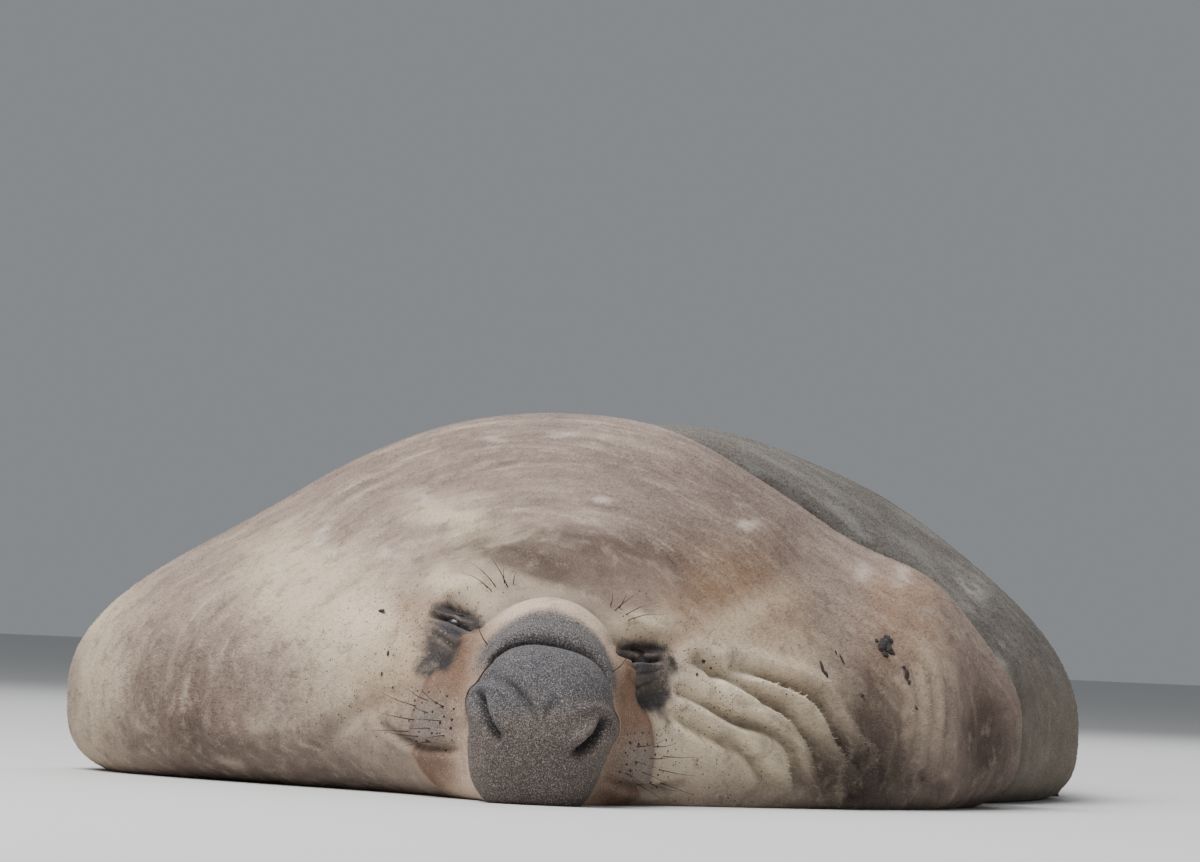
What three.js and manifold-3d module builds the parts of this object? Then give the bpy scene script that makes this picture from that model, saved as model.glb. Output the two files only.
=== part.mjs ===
// A bull southern elephant seal asleep on its belly, life size, in millimetres, +Z up.
// It faces -Y. The origin is on the floor under the chest.
import * as THREE from "three";
import { mergeVertices } from "three/addons/utils/BufferGeometryUtils.js";
import Module from "manifold-3d";

const wasm = await Module();
wasm.setup();

// Driving sizes
const ORIGIN_BEHIND_NOSE = 1620; // from the front of the nose back to the origin
const ORIGIN_ASIDE = 260; // the origin lies this far to +X of the nose
const GAP = 0.3; // between nodes that meet
const HEAD_ROLL = THREE.MathUtils.degToRad(8.5); // the head leans over to +X
const NOSE_DEPTH = 95; // of the rounded bulb at the front of the nose
const NOSE_AXIS_HEIGHT = 118; // of the nose's middle above the floor
const HEAD_AROUND = 64; // points round the head's rings
const BODY_AROUND = 40; // points round the trunk's rings

// The sizes of a ring of the body: how far it lies behind the nose, its middle's place aside of the nose and above
// the floor, its half width, its reach above and below the middle, how far its upper corners fall in from an
// ellipse, how square its lower ones are (2 is round), its share of the head's roll, and the steps up to it.
const RING_SIZES = ["back", "aside", "mid", "half", "up", "down", "slack", "square", "roll", "steps"];
const RINGS = {
  bulb: [NOSE_DEPTH, 0, 118, 104, 119, 138, -0.09, 2.9, 1, 7],
  noseFold: [124, -2, 118, 101, 111, 136, -0.09, 2.9, 1, 4],
  lobe: [138, -3, 118, 106, 146, 136, -0.07, 2.9, 1, 2],
  lobeCrest: [158, -4, 118, 120, 170, 136, -0.02, 2.9, 1, 2],
  bridge: [198, -6, 118, 158, 188, 138, 0.04, 2.9, 1, 3],
  noseRoot: [242, -9, 118, 184, 197, 142, 0.08, 2.9, 1, 2],
  orbit: [282, -12, 119, 204, 200, 146, 0.06, 2.9, 1, 2],
  brow: [316, -8, 121, 236, 228, 152, 0.04, 3, 1, 3],
  forehead: [356, 0, 124, 286, 262, 158, 0.05, 3.1, 0.9, 3],
  temple: [420, 6, 126, 358, 298, 165, 0.08, 3.2, 0.8, 3],
  nape: [530, 5, 130, 480, 350, 174, 0.11, 3.4, 0.5, 3],
  collar: [730, 2, 135, 655, 418, 184, 0.13, 3.6, 0.2, 4],
  hood: [890, 4, 138, 747, 458, 190, 0.13, 3.8, 0, 3],
  hoodCrest: [1010, 6, 138, 784, 478, 190, 0.13, 3.8, 0, 2],
  hoodBack: [1110, 18, 138, 776, 476, 190, 0.13, 3.8, 0, 2],
  neckFold: [1200, 50, 134, 724, 470, 184, 0.12, 3.8, 0, 2],
  shoulder: [1330, 105, 130, 722, 482, 180, 0.11, 3.8, 0, 2],
  chest: [1580, 185, 125, 724, 502, 178, 0.1, 3.75, 0, 2],
  trunk: [1850, 250, 120, 708, 514, 175, 0.09, 3.75, 0, 3],
  flank: [2150, 286, 118, 645, 494, 170, 0.07, 3.7, 0, 2],
  belly: [2500, 325, 116, 580, 448, 165, 0.05, 3.6, 0, 3],
  loin: [2900, 365, 112, 490, 380, 155, 0.03, 3.4, 0, 3],
  haunch: [3300, 385, 102, 376, 300, 138, 0.02, 3, 0, 3],
  hip: [3620, 395, 90, 268, 214, 116, 0, 2.6, 0, 3],
  ankle: [3880, 398, 76, 176, 138, 90, 0, 2.3, 0, 2],
  tailRoot: [4010, 400, 62, 92, 74, 66, 0, 2.1, 0, 2],
  tail: [4110, 400, 46, 52, 30, 47, 0, 2, 0, 2],
  tailTip: [4165, 400, 34, 4, 3, 3, 0, 2, 0, 3],
};
for (const [name, sizes] of Object.entries(RINGS)) {
  RINGS[name] = Object.fromEntries(RING_SIZES.map((key, i) => [key, sizes[i]]));
}
const ringNames = Object.keys(RINGS);
const ringAt = (name) => ringNames.indexOf(name);

// A smooth curve through values at 0, 1, 2, ... that never overshoots them.
function smoothCurve(values) {
  const slopes = values.slice(1).map((v, i) => v - values[i]);
  const tangents = values.map((_, i) => {
    if (i === 0) return slopes[0];
    if (i === values.length - 1) return slopes[i - 1];
    const product = slopes[i - 1] * slopes[i];
    return product <= 0 ? 0 : (2 * product) / (slopes[i - 1] + slopes[i]);
  });
  return (t) => {
    const i = Math.min(Math.max(Math.floor(t), 0), values.length - 2);
    const s = t - i;
    const rise = values[i + 1] - values[i];
    const bend = 3 * rise - 2 * tangents[i] - tangents[i + 1];
    const twist = tangents[i] + tangents[i + 1] - 2 * rise;
    return values[i] + s * (tangents[i] + s * (bend + s * twist));
  };
}
const curves = Object.fromEntries(
  Object.keys(RINGS.bulb).map((key) => [key, smoothCurve(ringNames.map((name) => RINGS[name][key]))]),
);

// The plain body, without folds. station is -1 at the tip of the nose and n at the nth ring; angle is 0 at the top
// and grows towards +X.
function plainPoint(station, angle) {
  const t = Math.max(station, 0);
  const cap = station < 0 ? Math.acos(THREE.MathUtils.clamp(-station, 0, 1)) : Math.PI / 2;
  const size = Math.sin(cap);
  const back = station < 0 ? NOSE_DEPTH * (1 - Math.cos(cap)) : curves.back(t);
  let side = Math.sin(angle);
  let height = Math.cos(angle);
  if (height > 0) {
    const fall = 1 - curves.slack(t) * Math.sin(2 * angle) ** 2;
    side *= fall;
    height *= fall;
  } else {
    const power = 2 / curves.square(t);
    side = Math.sign(side) * Math.abs(side) ** power;
    height = -(Math.abs(height) ** power);
  }
  const across = side * curves.half(t) * size;
  const above = height * (height > 0 ? curves.up(t) : curves.down(t)) * size;
  const roll = HEAD_ROLL * curves.roll(t);
  return new THREE.Vector3(
    curves.aside(t) + across * Math.cos(roll) + above * Math.sin(roll),
    back,
    curves.mid(t) - across * Math.sin(roll) + above * Math.cos(roll),
  );
}

function plainNormal(station, angle) {
  const step = 0.01;
  const along = plainPoint(Math.min(station + step, ringNames.length - 1), angle)
    .sub(plainPoint(Math.max(station - step, -1), angle));
  const round = plainPoint(station, angle + step).sub(plainPoint(station, angle - step));
  const normal = round.cross(along);
  return normal.lengthSq() > 0 ? normal.normalize() : new THREE.Vector3(0, -1, 0);
}

// Folds and swellings of the skin, placed as they are seen from the front: x aside of the nose's middle and z above
// it. Those of the head lean over with it, and the face is not quite even.
const EYES = { right: [-162, 128], left: [134, 128] };
const swellings = [
  { x: -162, z: 146, wide: 44, high: 22, lift: -15, tilt: 0.1, head: true }, // hollows over the closed eyes
  { x: 133, z: 145, wide: 42, high: 20, lift: -16, tilt: -0.1, head: true },
  { x: -164, z: 118, wide: 34, high: 16, lift: 8, tilt: 0.1, head: true }, // closed lids
  { x: 136, z: 118, wide: 32, high: 16, lift: 8, tilt: -0.1, head: true },
  { x: -170, z: 72, wide: 40, high: 24, lift: -10, tilt: 0.5, head: true }, // hollows below the eyes
  { x: 152, z: 74, wide: 34, high: 34, lift: -14, tilt: -0.5, head: true },
  { x: -160, z: -30, wide: 44, high: 40, lift: 15, tilt: 0, head: true }, // whisker pads
  { x: 150, z: -30, wide: 44, high: 40, lift: 15, tilt: 0, head: true },
  { x: -262, z: 126, wide: 13, high: 13, lift: -12, tilt: 0, head: true }, // ear holes
  { x: 250, z: 124, wide: 13, high: 13, lift: -12, tilt: 0, head: true },
  { x: -84, z: 4, wide: 30, high: 32, lift: 11, tilt: 0.2, head: true, nose: true }, // sides of the nostrils
  { x: 80, z: 4, wide: 30, high: 32, lift: 11, tilt: -0.2, head: true, nose: true },
  { x: -10, z: 236, wide: 110, high: 20, lift: -9, tilt: 0, head: true }, // hollow over the root of the nose
  { x: -8, z: 292, wide: 180, high: 26, lift: 10, tilt: 0, head: true }, // roll on the forehead
  { x: 625, z: 262, wide: 95, high: 60, lift: 26, tilt: 0.6, back: 950, deep: 240 }, // bulge of the neck roll
  { x: 712, z: 30, wide: 42, high: 95, lift: -24, tilt: 0, back: 900, deep: 260 }, // hollow under that bulge
  { x: 575, z: 70, wide: 70, high: 150, lift: 12, tilt: 0.15, back: 720, deep: 240 }, // roll beside the jowl
  { x: 482, z: -52, wide: 40, high: 36, lift: 20, tilt: 0, back: 560, deep: 220 }, // heavy end of the jowl
  { x: 455, z: 490, wide: 150, high: 70, lift: -13, tilt: 0.3, back: 1850, deep: 400 }, // flatter shoulder
  { x: 190, z: 486, wide: 130, high: 60, lift: 9, tilt: 0.1, back: 1030, deep: 200 }, // crest of the hood
];
// A fold is a groove along a smooth path, with a low lip on either side. A ridge is a fold of negative depth.
const folds = [
  { path: [[-199, 131], [-172, 131], [-150, 127], [-124, 133]], wide: 5, deep: 8, head: true }, // slits of the eyes
  { path: [[101, 132], [124, 127], [144, 127], [165, 131]], wide: 5, deep: 8, head: true },
  { path: [[-190, 152], [-164, 178], [-138, 190], [-104, 192]], wide: 14, deep: -10, head: true }, // brows
  { path: [[86, 181], [112, 180], [134, 173], [156, 156], [168, 138]], wide: 14, deep: -11, head: true },
  { path: [[-92, 24], [-84, 6], [-74, -12], [-60, -30]], wide: 8, deep: 20, head: true, nose: true }, // nostrils
  { path: [[86, 24], [80, 6], [70, -12], [58, -30]], wide: 8, deep: 20, head: true, nose: true },
  { path: [[-78, 54], [-46, 44], [-24, 26], [-6, 20], [16, 34]], wide: 9, deep: 8, head: true, nose: true },
  { path: [[-118, -62], [-180, -68], [-238, -48]], wide: 7, deep: 12, head: true }, // corners of the mouth
  { path: [[112, -62], [172, -68], [230, -48]], wide: 7, deep: 12, head: true },
  { path: [[200, 22], [262, -4], [318, -28], [366, -80]], wide: 22, deep: 13 }, // folds of the jowl
  { path: [[226, 92], [290, 66], [335, 46], [398, 4], [436, -80]], wide: 22, deep: 17 },
  { path: [[290, 104], [350, 92], [430, 60], [470, 6], [500, -50], [500, -96]], wide: 22, deep: 18 },
  { path: [[560, -84], [600, -62], [640, -84]], wide: 18, deep: 12, back: 800, reach: 200 }, // flipper's root
  { path: [[-205, 40], [-290, 0], [-360, -70]], wide: 22, deep: 8 },
  { path: [[-560, 150], [-600, 60], [-610, -60]], wide: 24, deep: 8, back: 800, reach: 200 }, // side of the hood
];
const PATH_STEPS = 4;
for (const fold of folds) {
  const [curveX, curveZ] = [0, 1].map((axis) => smoothCurve(fold.path.map((place) => place[axis])));
  const count = PATH_STEPS * (fold.path.length - 1);
  fold.points = Array.from({ length: count + 1 }, (_, i) => [curveX(i / PATH_STEPS), curveZ(i / PATH_STEPS)]);
}

const window = (x) => Math.exp(-x * x);

// How deep a fold is at a place seen from the front.
function grooveDepth(fold, u, v) {
  let nearest = Infinity;
  let place = 0;
  const runs = fold.points.length - 1;
  for (let i = 0; i < runs; i++) {
    const [fromX, fromZ] = fold.points[i];
    const [runX, runZ] = [fold.points[i + 1][0] - fromX, fold.points[i + 1][1] - fromZ];
    const along = ((u - fromX) * runX + (v - fromZ) * runZ) / (runX ** 2 + runZ ** 2);
    const share = THREE.MathUtils.clamp(along, 0, 1);
    const off = Math.hypot(u - fromX - share * runX, v - fromZ - share * runZ);
    if (off >= nearest) continue;
    nearest = off;
    place = (i + share) / runs;
  }
  const taper = Math.sqrt(Math.sin(Math.PI * (0.06 + 0.88 * place)));
  const lips = 0.35 * window((nearest - 2.3 * fold.wide) / (1.2 * fold.wide));
  return fold.deep * taper * (window(nearest / fold.wide) - (fold.deep > 0 ? lips : 0));
}

function relief(point) {
  const x = point.x;
  const z = point.z - NOSE_AXIS_HEIGHT;
  const headX = x * Math.cos(HEAD_ROLL) - z * Math.sin(HEAD_ROLL);
  const headZ = x * Math.sin(HEAD_ROLL) + z * Math.cos(HEAD_ROLL);
  const strength = (form) => {
    if (form.nose) return 1 - THREE.MathUtils.smoothstep(point.y, 140, 152);
    if (form.back) return window((point.y - form.back) / (form.reach ?? form.deep));
    return THREE.MathUtils.smoothstep(point.y, 130, 170) * (1 - THREE.MathUtils.smoothstep(point.y, 620, 760));
  };
  let lift = 0;
  for (const form of swellings) {
    const u = (form.head ? headX : x) - form.x;
    const v = (form.head ? headZ : z) - form.z;
    const along = u * Math.cos(form.tilt) - v * Math.sin(form.tilt);
    const above = u * Math.sin(form.tilt) + v * Math.cos(form.tilt);
    lift += form.lift * window(Math.hypot(along / form.wide, above / form.high)) * strength(form);
  }
  for (const fold of folds) {
    lift -= grooveDepth(fold, fold.head ? headX : x, fold.head ? headZ : z) * strength(fold);
  }
  return lift;
}

// The fold round the neck where the hood lies over the trunk: deepest on the side that the body bends to.
function neckFold(station, angle) {
  const deep = 10 + 38 * Math.max(0, Math.sin(angle)) + 14 * Math.max(0, -Math.sin(angle));
  return -deep * window((station - ringAt("neckFold")) / 0.42);
}

// The two folds over the nose, behind its rounded front and at its root.
function noseFolds(station, angle) {
  const upper = THREE.MathUtils.smoothstep(Math.cos(angle), -0.75, 0.1);
  const front = window((station - ringAt("noseFold") + 0.12) / 0.3);
  const root = window((station - ringAt("noseRoot") - 0.25) / 0.42);
  return -upper * (14 * front + 9 * root);
}

// A point of the skin. grow moves it out by that much.
function skinPoint(station, angle, grow = 0) {
  const plain = plainPoint(station, angle);
  const lift = relief(plain) + neckFold(station, angle) + noseFolds(station, angle) + grow;
  const point = plain.addScaledVector(plainNormal(station, angle), lift);
  return new THREE.Vector3(point.x - ORIGIN_ASIDE, point.y - ORIGIN_BEHIND_NOSE, Math.max(point.z, 0));
}

// Geometry helpers

// A closed geometry with its shared points merged and its collapsed faces left out.
function closed(geometry) {
  geometry.deleteAttribute("normal");
  geometry.deleteAttribute("uv");
  const merged = mergeVertices(geometry, 1e-3);
  const kept = [];
  const index = merged.index.array;
  for (let i = 0; i < index.length; i += 3) {
    const [a, b, c] = index.subarray(i, i + 3);
    if (a !== b && b !== c && c !== a) kept.push(a, b, c);
  }
  merged.setIndex(kept);
  return merged;
}

// Moves each vertex of a geometry to where place puts it.
function shaped(geometry, place) {
  const position = geometry.getAttribute("position");
  const vertex = new THREE.Vector3();
  for (let i = 0; i < position.count; i++) {
    vertex.fromBufferAttribute(position, i);
    position.setXYZ(i, ...place(vertex).toArray());
  }
  return closed(geometry);
}

function solid(geometry) {
  const made = new wasm.Manifold(
    new wasm.Mesh({
      numProp: 3,
      vertProperties: new Float32Array(geometry.getAttribute("position").array),
      triVerts: new Uint32Array(geometry.index.array),
    }),
  );
  if (made.volume() >= 0) return made;
  const turned = new Uint32Array(geometry.index.array);
  for (let i = 0; i < turned.length; i += 3) [turned[i + 1], turned[i + 2]] = [turned[i + 2], turned[i + 1]];
  geometry.setIndex([...turned]);
  return solid(geometry);
}

const largest = (shape) => shape.decompose().reduce((best, body) => (body.volume() > best.volume() ? body : best));

function geometryOf(shape) {
  const mesh = shape.getMesh();
  const points = new Float32Array(mesh.numVert * 3);
  for (let i = 0; i < mesh.numVert; i++) {
    points.set(mesh.vertProperties.subarray(i * mesh.numProp, i * mesh.numProp + 3), i * 3);
  }
  const geometry = new THREE.BufferGeometry().setAttribute("position", new THREE.BufferAttribute(points, 3));
  geometry.setIndex(new THREE.BufferAttribute(mesh.triVerts, 1));
  geometry.computeVertexNormals();
  return geometry;
}

// The stations of every ring from one named ring to another.
function stationsBetween(from, to) {
  const first = from === "noseTip" ? -1 : ringAt(from);
  const last = ringAt(to);
  const stations = [first];
  for (let ring = first + 1; ring <= last; ring++) {
    const { steps } = RINGS[ringNames[ring]];
    for (let i = 1; i <= steps; i++) stations.push(ring - 1 + i / steps);
  }
  return stations;
}

// More points over the back, fewer under the belly.
const angleAt = (share) => 2 * Math.PI * share - 0.5 * Math.sin(2 * Math.PI * share);

// The body between two rings, closed by a flat face at each end. trim draws the faces in along the body.
function bodyLength(from, to, around, { grow = 0, trim = GAP / 2 } = {}) {
  const stations = stationsBetween(from, to);
  const rows = stations.length - 1;
  const tube = new THREE.CylinderGeometry(1, 1, rows, around, rows);
  return solid(
    shaped(tube, (vertex) => {
      const row = Math.round(vertex.y + rows / 2);
      const station = stations[row];
      const onAxis = Math.hypot(vertex.x, vertex.z) < 0.5;
      const share = (Math.atan2(vertex.x, vertex.z) / (2 * Math.PI) + 1) % 1;
      const point = onAxis
        ? skinPoint(station, 0).add(skinPoint(station, Math.PI)).multiplyScalar(0.5)
        : skinPoint(station, angleAt(share), grow);
      // An end face is flat: all of it lies where its ring does.
      if (row === 0 && from !== "noseTip") point.y = curves.back(station) - ORIGIN_BEHIND_NOSE + trim;
      if (row === rows && to !== "tailTip") point.y = curves.back(station) - ORIGIN_BEHIND_NOSE - trim;
      return point;
    }),
  );
}

// The place on the head seen from the front at x and z of the leaning head, found by ever smaller steps over the
// skin, with the way that the skin faces there.
function headPlace(x, z) {
  const targetX = x * Math.cos(HEAD_ROLL) + z * Math.sin(HEAD_ROLL) - ORIGIN_ASIDE;
  const targetZ = -x * Math.sin(HEAD_ROLL) + z * Math.cos(HEAD_ROLL) + NOSE_AXIS_HEIGHT;
  const missAt = ([station, angle]) => {
    const point = skinPoint(station, angle);
    return Math.hypot(point.x - targetX, point.z - targetZ);
  };
  let best = [ringAt("orbit"), Math.atan2(x, z)];
  for (let step = 0.5; step > 1e-4; step /= 1.5) {
    for (const [ds, da] of [[step, 0], [-step, 0], [0, step], [0, -step]]) {
      const next = [best[0] + ds, best[1] + da * 0.3];
      if (missAt(next) < missAt(best)) best = next;
    }
  }
  return { point: skinPoint(...best), normal: plainNormal(...best) };
}

// An ellipsoid with its half sizes across, along and above, sunk into the skin at a place on the head.
function headEllipsoid({ place, sunk, size, tilt = 0 }, grow) {
  const ball = new THREE.SphereGeometry(1, 16, 10);
  const centre = place.point.clone().addScaledVector(place.normal, -sunk);
  ball.scale(size[0] + grow, size[1] + grow, size[2] + grow);
  ball.rotateY(HEAD_ROLL + tilt);
  ball.rotateZ(Math.atan2(place.normal.x, -place.normal.y));
  ball.translate(centre.x, centre.y, centre.z);
  return solid(closed(ball));
}

// Parts a solid along a cutter that can be made a little larger or smaller.
function parted(shape, cutter) {
  return [largest(shape.intersect(cutter(-GAP / 2))), largest(shape.subtract(cutter(GAP / 2)))];
}

// The head

const JAW = { front: 132, length: 300, half: 205, mouth: 60 };
const WHISKER_PAD = { x: 156, z: -30, sunk: 22, size: [48, 44, 44] };
const LIDS = { sunk: 12, size: [40, 26, 22] };
const EYEBALL = { sunk: 25, size: [24, 21, 16] };
const LID_SLIT = 1.6; // half the height of the slit between the lids

function jawBlock(grow) {
  const { front, length, half, mouth } = JAW;
  const block = new THREE.BoxGeometry(2 * (half + grow), length + 2 * grow, 2 * (mouth + grow));
  block.translate(-ORIGIN_ASIDE, front + length / 2 - ORIGIN_BEHIND_NOSE, 0);
  return solid(closed(block));
}

function slabInFront(name) {
  const back = RINGS[name].back;
  return (grow) => {
    const block = new THREE.BoxGeometry(2000, 2000, 2000);
    block.translate(0, back - 1000 + grow - ORIGIN_BEHIND_NOSE, 0);
    return solid(closed(block));
  };
}

// A thin slab that sags between the lids from one corner of the eye to the other.
function lidSlit(place, tilt) {
  const slab = new THREE.BoxGeometry(110, 140, 2 * LID_SLIT, 8, 1, 1);
  slab.getAttribute("position").array.forEach((_, i, all) => {
    if (i % 3 === 2) all[i] += 7 * (all[i - 2] / 40) ** 2 - 6;
  });
  slab.rotateY(HEAD_ROLL + tilt);
  slab.rotateZ(Math.atan2(place.normal.x, -place.normal.y));
  slab.translate(place.point.x, place.point.y, place.point.z);
  return solid(closed(slab));
}

const pieces = {}; // node name to solid
const SIDES = [["right", -1], ["left", 1]]; // the animal's own right lies to -X

function makeHead() {
  let head = bodyLength("noseTip", "nape", HEAD_AROUND);
  let nose;
  [pieces.lower_jaw, head] = parted(head, jawBlock);
  [nose, head] = parted(head, slabInFront("noseRoot"));
  for (const [name, side] of SIDES) {
    const pad = { ...WHISKER_PAD, place: headPlace(WHISKER_PAD.x * side, WHISKER_PAD.z) };
    pieces[`whisker_pad_${name}`] = largest(nose.intersect(headEllipsoid(pad, -GAP / 2)));
    nose = largest(nose.subtract(headEllipsoid(pad, GAP / 2)));
    head = largest(head.subtract(headEllipsoid(pad, GAP / 2)));
    const place = headPlace(...EYES[name]);
    const tilt = 0.08 * side;
    const eyeball = { ...EYEBALL, place, tilt };
    let socket;
    [socket, head] = parted(head, (grow) => headEllipsoid({ ...LIDS, place, tilt }, grow));
    pieces[`eye_${name}`] = largest(headEllipsoid(eyeball, 0).intersect(socket));
    const lids = socket.subtract(headEllipsoid(eyeball, GAP)).subtract(lidSlit(place, tilt)).decompose();
    lids.sort((a, b) => b.volume() - a.volume());
    const [upper, lower] = lids.slice(0, 2).sort((a, b) => b.boundingBox().max[2] - a.boundingBox().max[2]);
    pieces[`eyelid_upper_${name}`] = upper;
    pieces[`eyelid_lower_${name}`] = lower;
  }
  pieces.proboscis = nose;
  pieces.head = head;
}

// The trunk

const TRUNK_NODES = [
  ["neck", "nape", "neckFold"],
  ["chest", "neckFold", "trunk"],
  ["belly", "trunk", "belly"],
  ["loins", "belly", "haunch"],
  ["hips", "haunch", "ankle"],
  ["tail", "ankle", "tailTip"],
];

function makeTrunk() {
  for (const [name, from, to] of TRUNK_NODES) pieces[name] = bodyLength(from, to, BODY_AROUND);
}

// A fore flipper is a hand of five digits laid back along the flank, thumb lowest. Its axes are along the body's
// stations and round its rings. The right hand lies farther forward and farther out from the flank.
const HAND = {
  wrist: { right: ringAt("trunk") + 0.2, left: ringAt("trunk") + 0.58 },
  flare: { right: 130, left: 6 },
  digits: [1.35, 1.3, 1.2, 1.06, 0.9], // how many stations each digit reaches back, the thumb first
  low: 0.5, // angle below the widest part of the flank
  wristHigh: 0.1,
  tipHigh: 0.26,
  thick: 30,
  rootThick: 26,
};

function handPoint([name, side], along, across, lift) {
  const digit = ((1 + across) / 2) * (HAND.digits.length - 1);
  const webbing = 1 - 0.1 * Math.sin(Math.PI * digit) ** 2 * THREE.MathUtils.smoothstep(along, 0.6, 1);
  const station = HAND.wrist[name] + smoothCurve(HAND.digits)(digit) * along * webbing;
  const high = HAND.wristHigh + (HAND.tipHigh - HAND.wristHigh) * along;
  const angle = Math.PI / 2 + HAND.low - ((HAND.low + high) * (1 + across)) / 2;
  const point = skinPoint(station, side * angle, lift);
  point.x += side * HAND.flare[name] * along ** 1.6;
  return point;
}

function handThickness(along, across) {
  const digit = ((1 + across) / 2) * (HAND.digits.length - 1);
  const ridge = Math.cos(Math.PI * digit) ** 4 * THREE.MathUtils.smoothstep(along, 0.1, 0.5);
  const rim = Math.sqrt(Math.max(0, 1 - across ** 6)) * Math.sqrt(Math.max(0, 1 - along ** 10));
  const bulk = HAND.thick * (0.55 + 0.45 * ridge) * (1 - 0.35 * along) + HAND.rootThick * (1 - along) ** 2;
  return 8 + (bulk - 8) * rim;
}

function handBlade(hand) {
  const slab = new THREE.BoxGeometry(2, 1, 1, 16, 9, 1);
  return solid(
    shaped(slab, (vertex) => {
      const [along, across] = [vertex.y + 0.5, vertex.x];
      const lift = vertex.z > 0 ? handThickness(along, across) : -12;
      const sleeve = THREE.MathUtils.smoothstep(along, 0, 0.12);
      return handPoint(hand, along, across, vertex.z > 0 ? -12 + (lift + 12) * sleeve : lift);
    }),
  );
}

// A nail at the end of a digit, a cone lying along the hand.
const NAIL_ACROSS = 0.86; // how near the hand's edges the outer nails are
function nail(hand, index, grow) {
  const across = NAIL_ACROSS * ((2 * index) / (HAND.digits.length - 1) - 1);
  const root = handPoint(hand, 0.9, across, handThickness(0.9, across));
  const tip = handPoint(hand, 1.02, across, handThickness(0.9, across) * 0.7);
  const along = tip.sub(root).normalize();
  const cone = new THREE.ConeGeometry(8 + grow, 52 + 2 * grow, 8, 2);
  cone.translate(0, 14, 0);
  cone.applyQuaternion(new THREE.Quaternion().setFromUnitVectors(new THREE.Vector3(0, 1, 0), along));
  cone.translate(root.x, root.y, Math.max(root.z, 14));
  return solid(closed(cone));
}

// A hind flipper is a fan of five webbed digits on the floor, the outer two the longest.
const HIND = {
  root: [112, 3850], // aside of the tail and behind the nose
  heading: 0.27,
  digits: [570, 500, 460, 500, 570],
  spread: 0.3,
  rootHalf: 66,
  rootHeight: 62,
  rootThick: 104,
  tipThick: 30,
};

function fanPoint(side, along, across, upper) {
  const digit = ((across + 1) / 2) * (HIND.digits.length - 1);
  const webbing = 1 - 0.08 * Math.sin(Math.PI * digit) ** 2 * THREE.MathUtils.smoothstep(along, 0.5, 1);
  const length = smoothCurve(HIND.digits)(digit) * along * webbing;
  const bearing = HIND.heading * side + across * HIND.spread * along ** 0.8;
  const half = across * HIND.rootHalf * (1 - 0.3 * along);
  const ridge = Math.cos(Math.PI * digit) ** 4 * THREE.MathUtils.smoothstep(along, 0.15, 0.5);
  const bulk = HIND.rootThick * (1 - along) ** 1.3 + HIND.tipThick * (0.55 + 0.45 * ridge * (1 - 0.4 * along));
  const thick = (bulk * (0.3 + 0.7 * Math.sqrt(Math.max(0, 1 - across ** 4)))) / 2;
  const middle = HIND.rootHeight - (HIND.rootHeight - 14) * THREE.MathUtils.smoothstep(along, 0, 0.75);
  return new THREE.Vector3(
    RINGS.tail.aside + HIND.root[0] * side + half + Math.sin(bearing) * length - ORIGIN_ASIDE,
    HIND.root[1] + Math.cos(bearing) * length - ORIGIN_BEHIND_NOSE,
    Math.max(0, middle + (upper ? thick : -thick)),
  );
}

function makeFlippers() {
  const flank = bodyLength("neckFold", "belly", BODY_AROUND, { grow: GAP });
  const rump = bodyLength("haunch", "tailTip", BODY_AROUND, { grow: GAP });
  for (const [name, side] of SIDES) {
    const hand = [name, side];
    let palm = handBlade(hand).subtract(flank);
    for (let i = 0; i < HAND.digits.length; i++) {
      pieces[`nail_${name}_${i + 1}`] = largest(nail(hand, i, 0).subtract(flank));
      palm = palm.subtract(nail(hand, i, GAP));
    }
    pieces[`fore_flipper_${name}`] = largest(palm);
    const fan = new THREE.BoxGeometry(2, 1, 1, 16, 9, 1);
    const fanned = shaped(fan, (vertex) => fanPoint(side, vertex.y + 0.5, vertex.x, vertex.z > 0));
    pieces[`hind_flipper_${name}`] = largest(solid(fanned).subtract(rump));
  }
}

// Finishes
const finish = (color, roughness) => new THREE.MeshStandardMaterial({ color, roughness, metalness: 0 });
const HIDE = finish("#8d7763", 0.85);
const NOSE_HIDE = finish("#6f6357", 0.8);
const EYE = finish("#0d0c0d", 0.15);
const NAIL = finish("#2a2420", 0.45);
const materialOf = (name) => {
  if (name.startsWith("eye_")) return EYE;
  if (name.startsWith("nail_")) return NAIL;
  return name === "proboscis" || name.startsWith("eyelid") ? NOSE_HIDE : HIDE;
};

makeHead();
makeTrunk();
makeFlippers();

const seal = new THREE.Group();
for (const [name, shape] of Object.entries(pieces)) {
  const mesh = new THREE.Mesh(geometryOf(shape), materialOf(name));
  mesh.name = name;
  seal.add(mesh);
}

export default seal;
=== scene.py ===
"""A bull southern elephant seal asleep on its belly, dressed for rendering at life size."""

import logging
import math
from dataclasses import dataclass
from enum import Enum

import bmesh
import bpy
import numpy as np
from mathutils import Matrix, Vector


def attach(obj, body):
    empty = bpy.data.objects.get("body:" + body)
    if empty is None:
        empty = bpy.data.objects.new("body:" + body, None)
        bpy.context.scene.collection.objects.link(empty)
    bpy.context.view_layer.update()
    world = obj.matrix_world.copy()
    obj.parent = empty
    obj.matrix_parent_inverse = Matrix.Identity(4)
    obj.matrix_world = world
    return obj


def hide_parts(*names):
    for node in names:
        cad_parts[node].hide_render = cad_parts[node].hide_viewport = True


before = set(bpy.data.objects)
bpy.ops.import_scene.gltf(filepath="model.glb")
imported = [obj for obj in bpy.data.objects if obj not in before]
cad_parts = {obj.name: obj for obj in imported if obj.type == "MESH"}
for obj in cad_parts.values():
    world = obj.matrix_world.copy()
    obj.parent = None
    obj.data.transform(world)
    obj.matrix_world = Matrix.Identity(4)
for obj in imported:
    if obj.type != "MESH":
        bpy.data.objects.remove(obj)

LOG = logging.getLogger("seal")
MM = 0.001
NOSE_TO_ORIGIN = np.array((-260.0, -1620.0, 0.0))  # from the frame's origin to the middle of the nose's front
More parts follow.
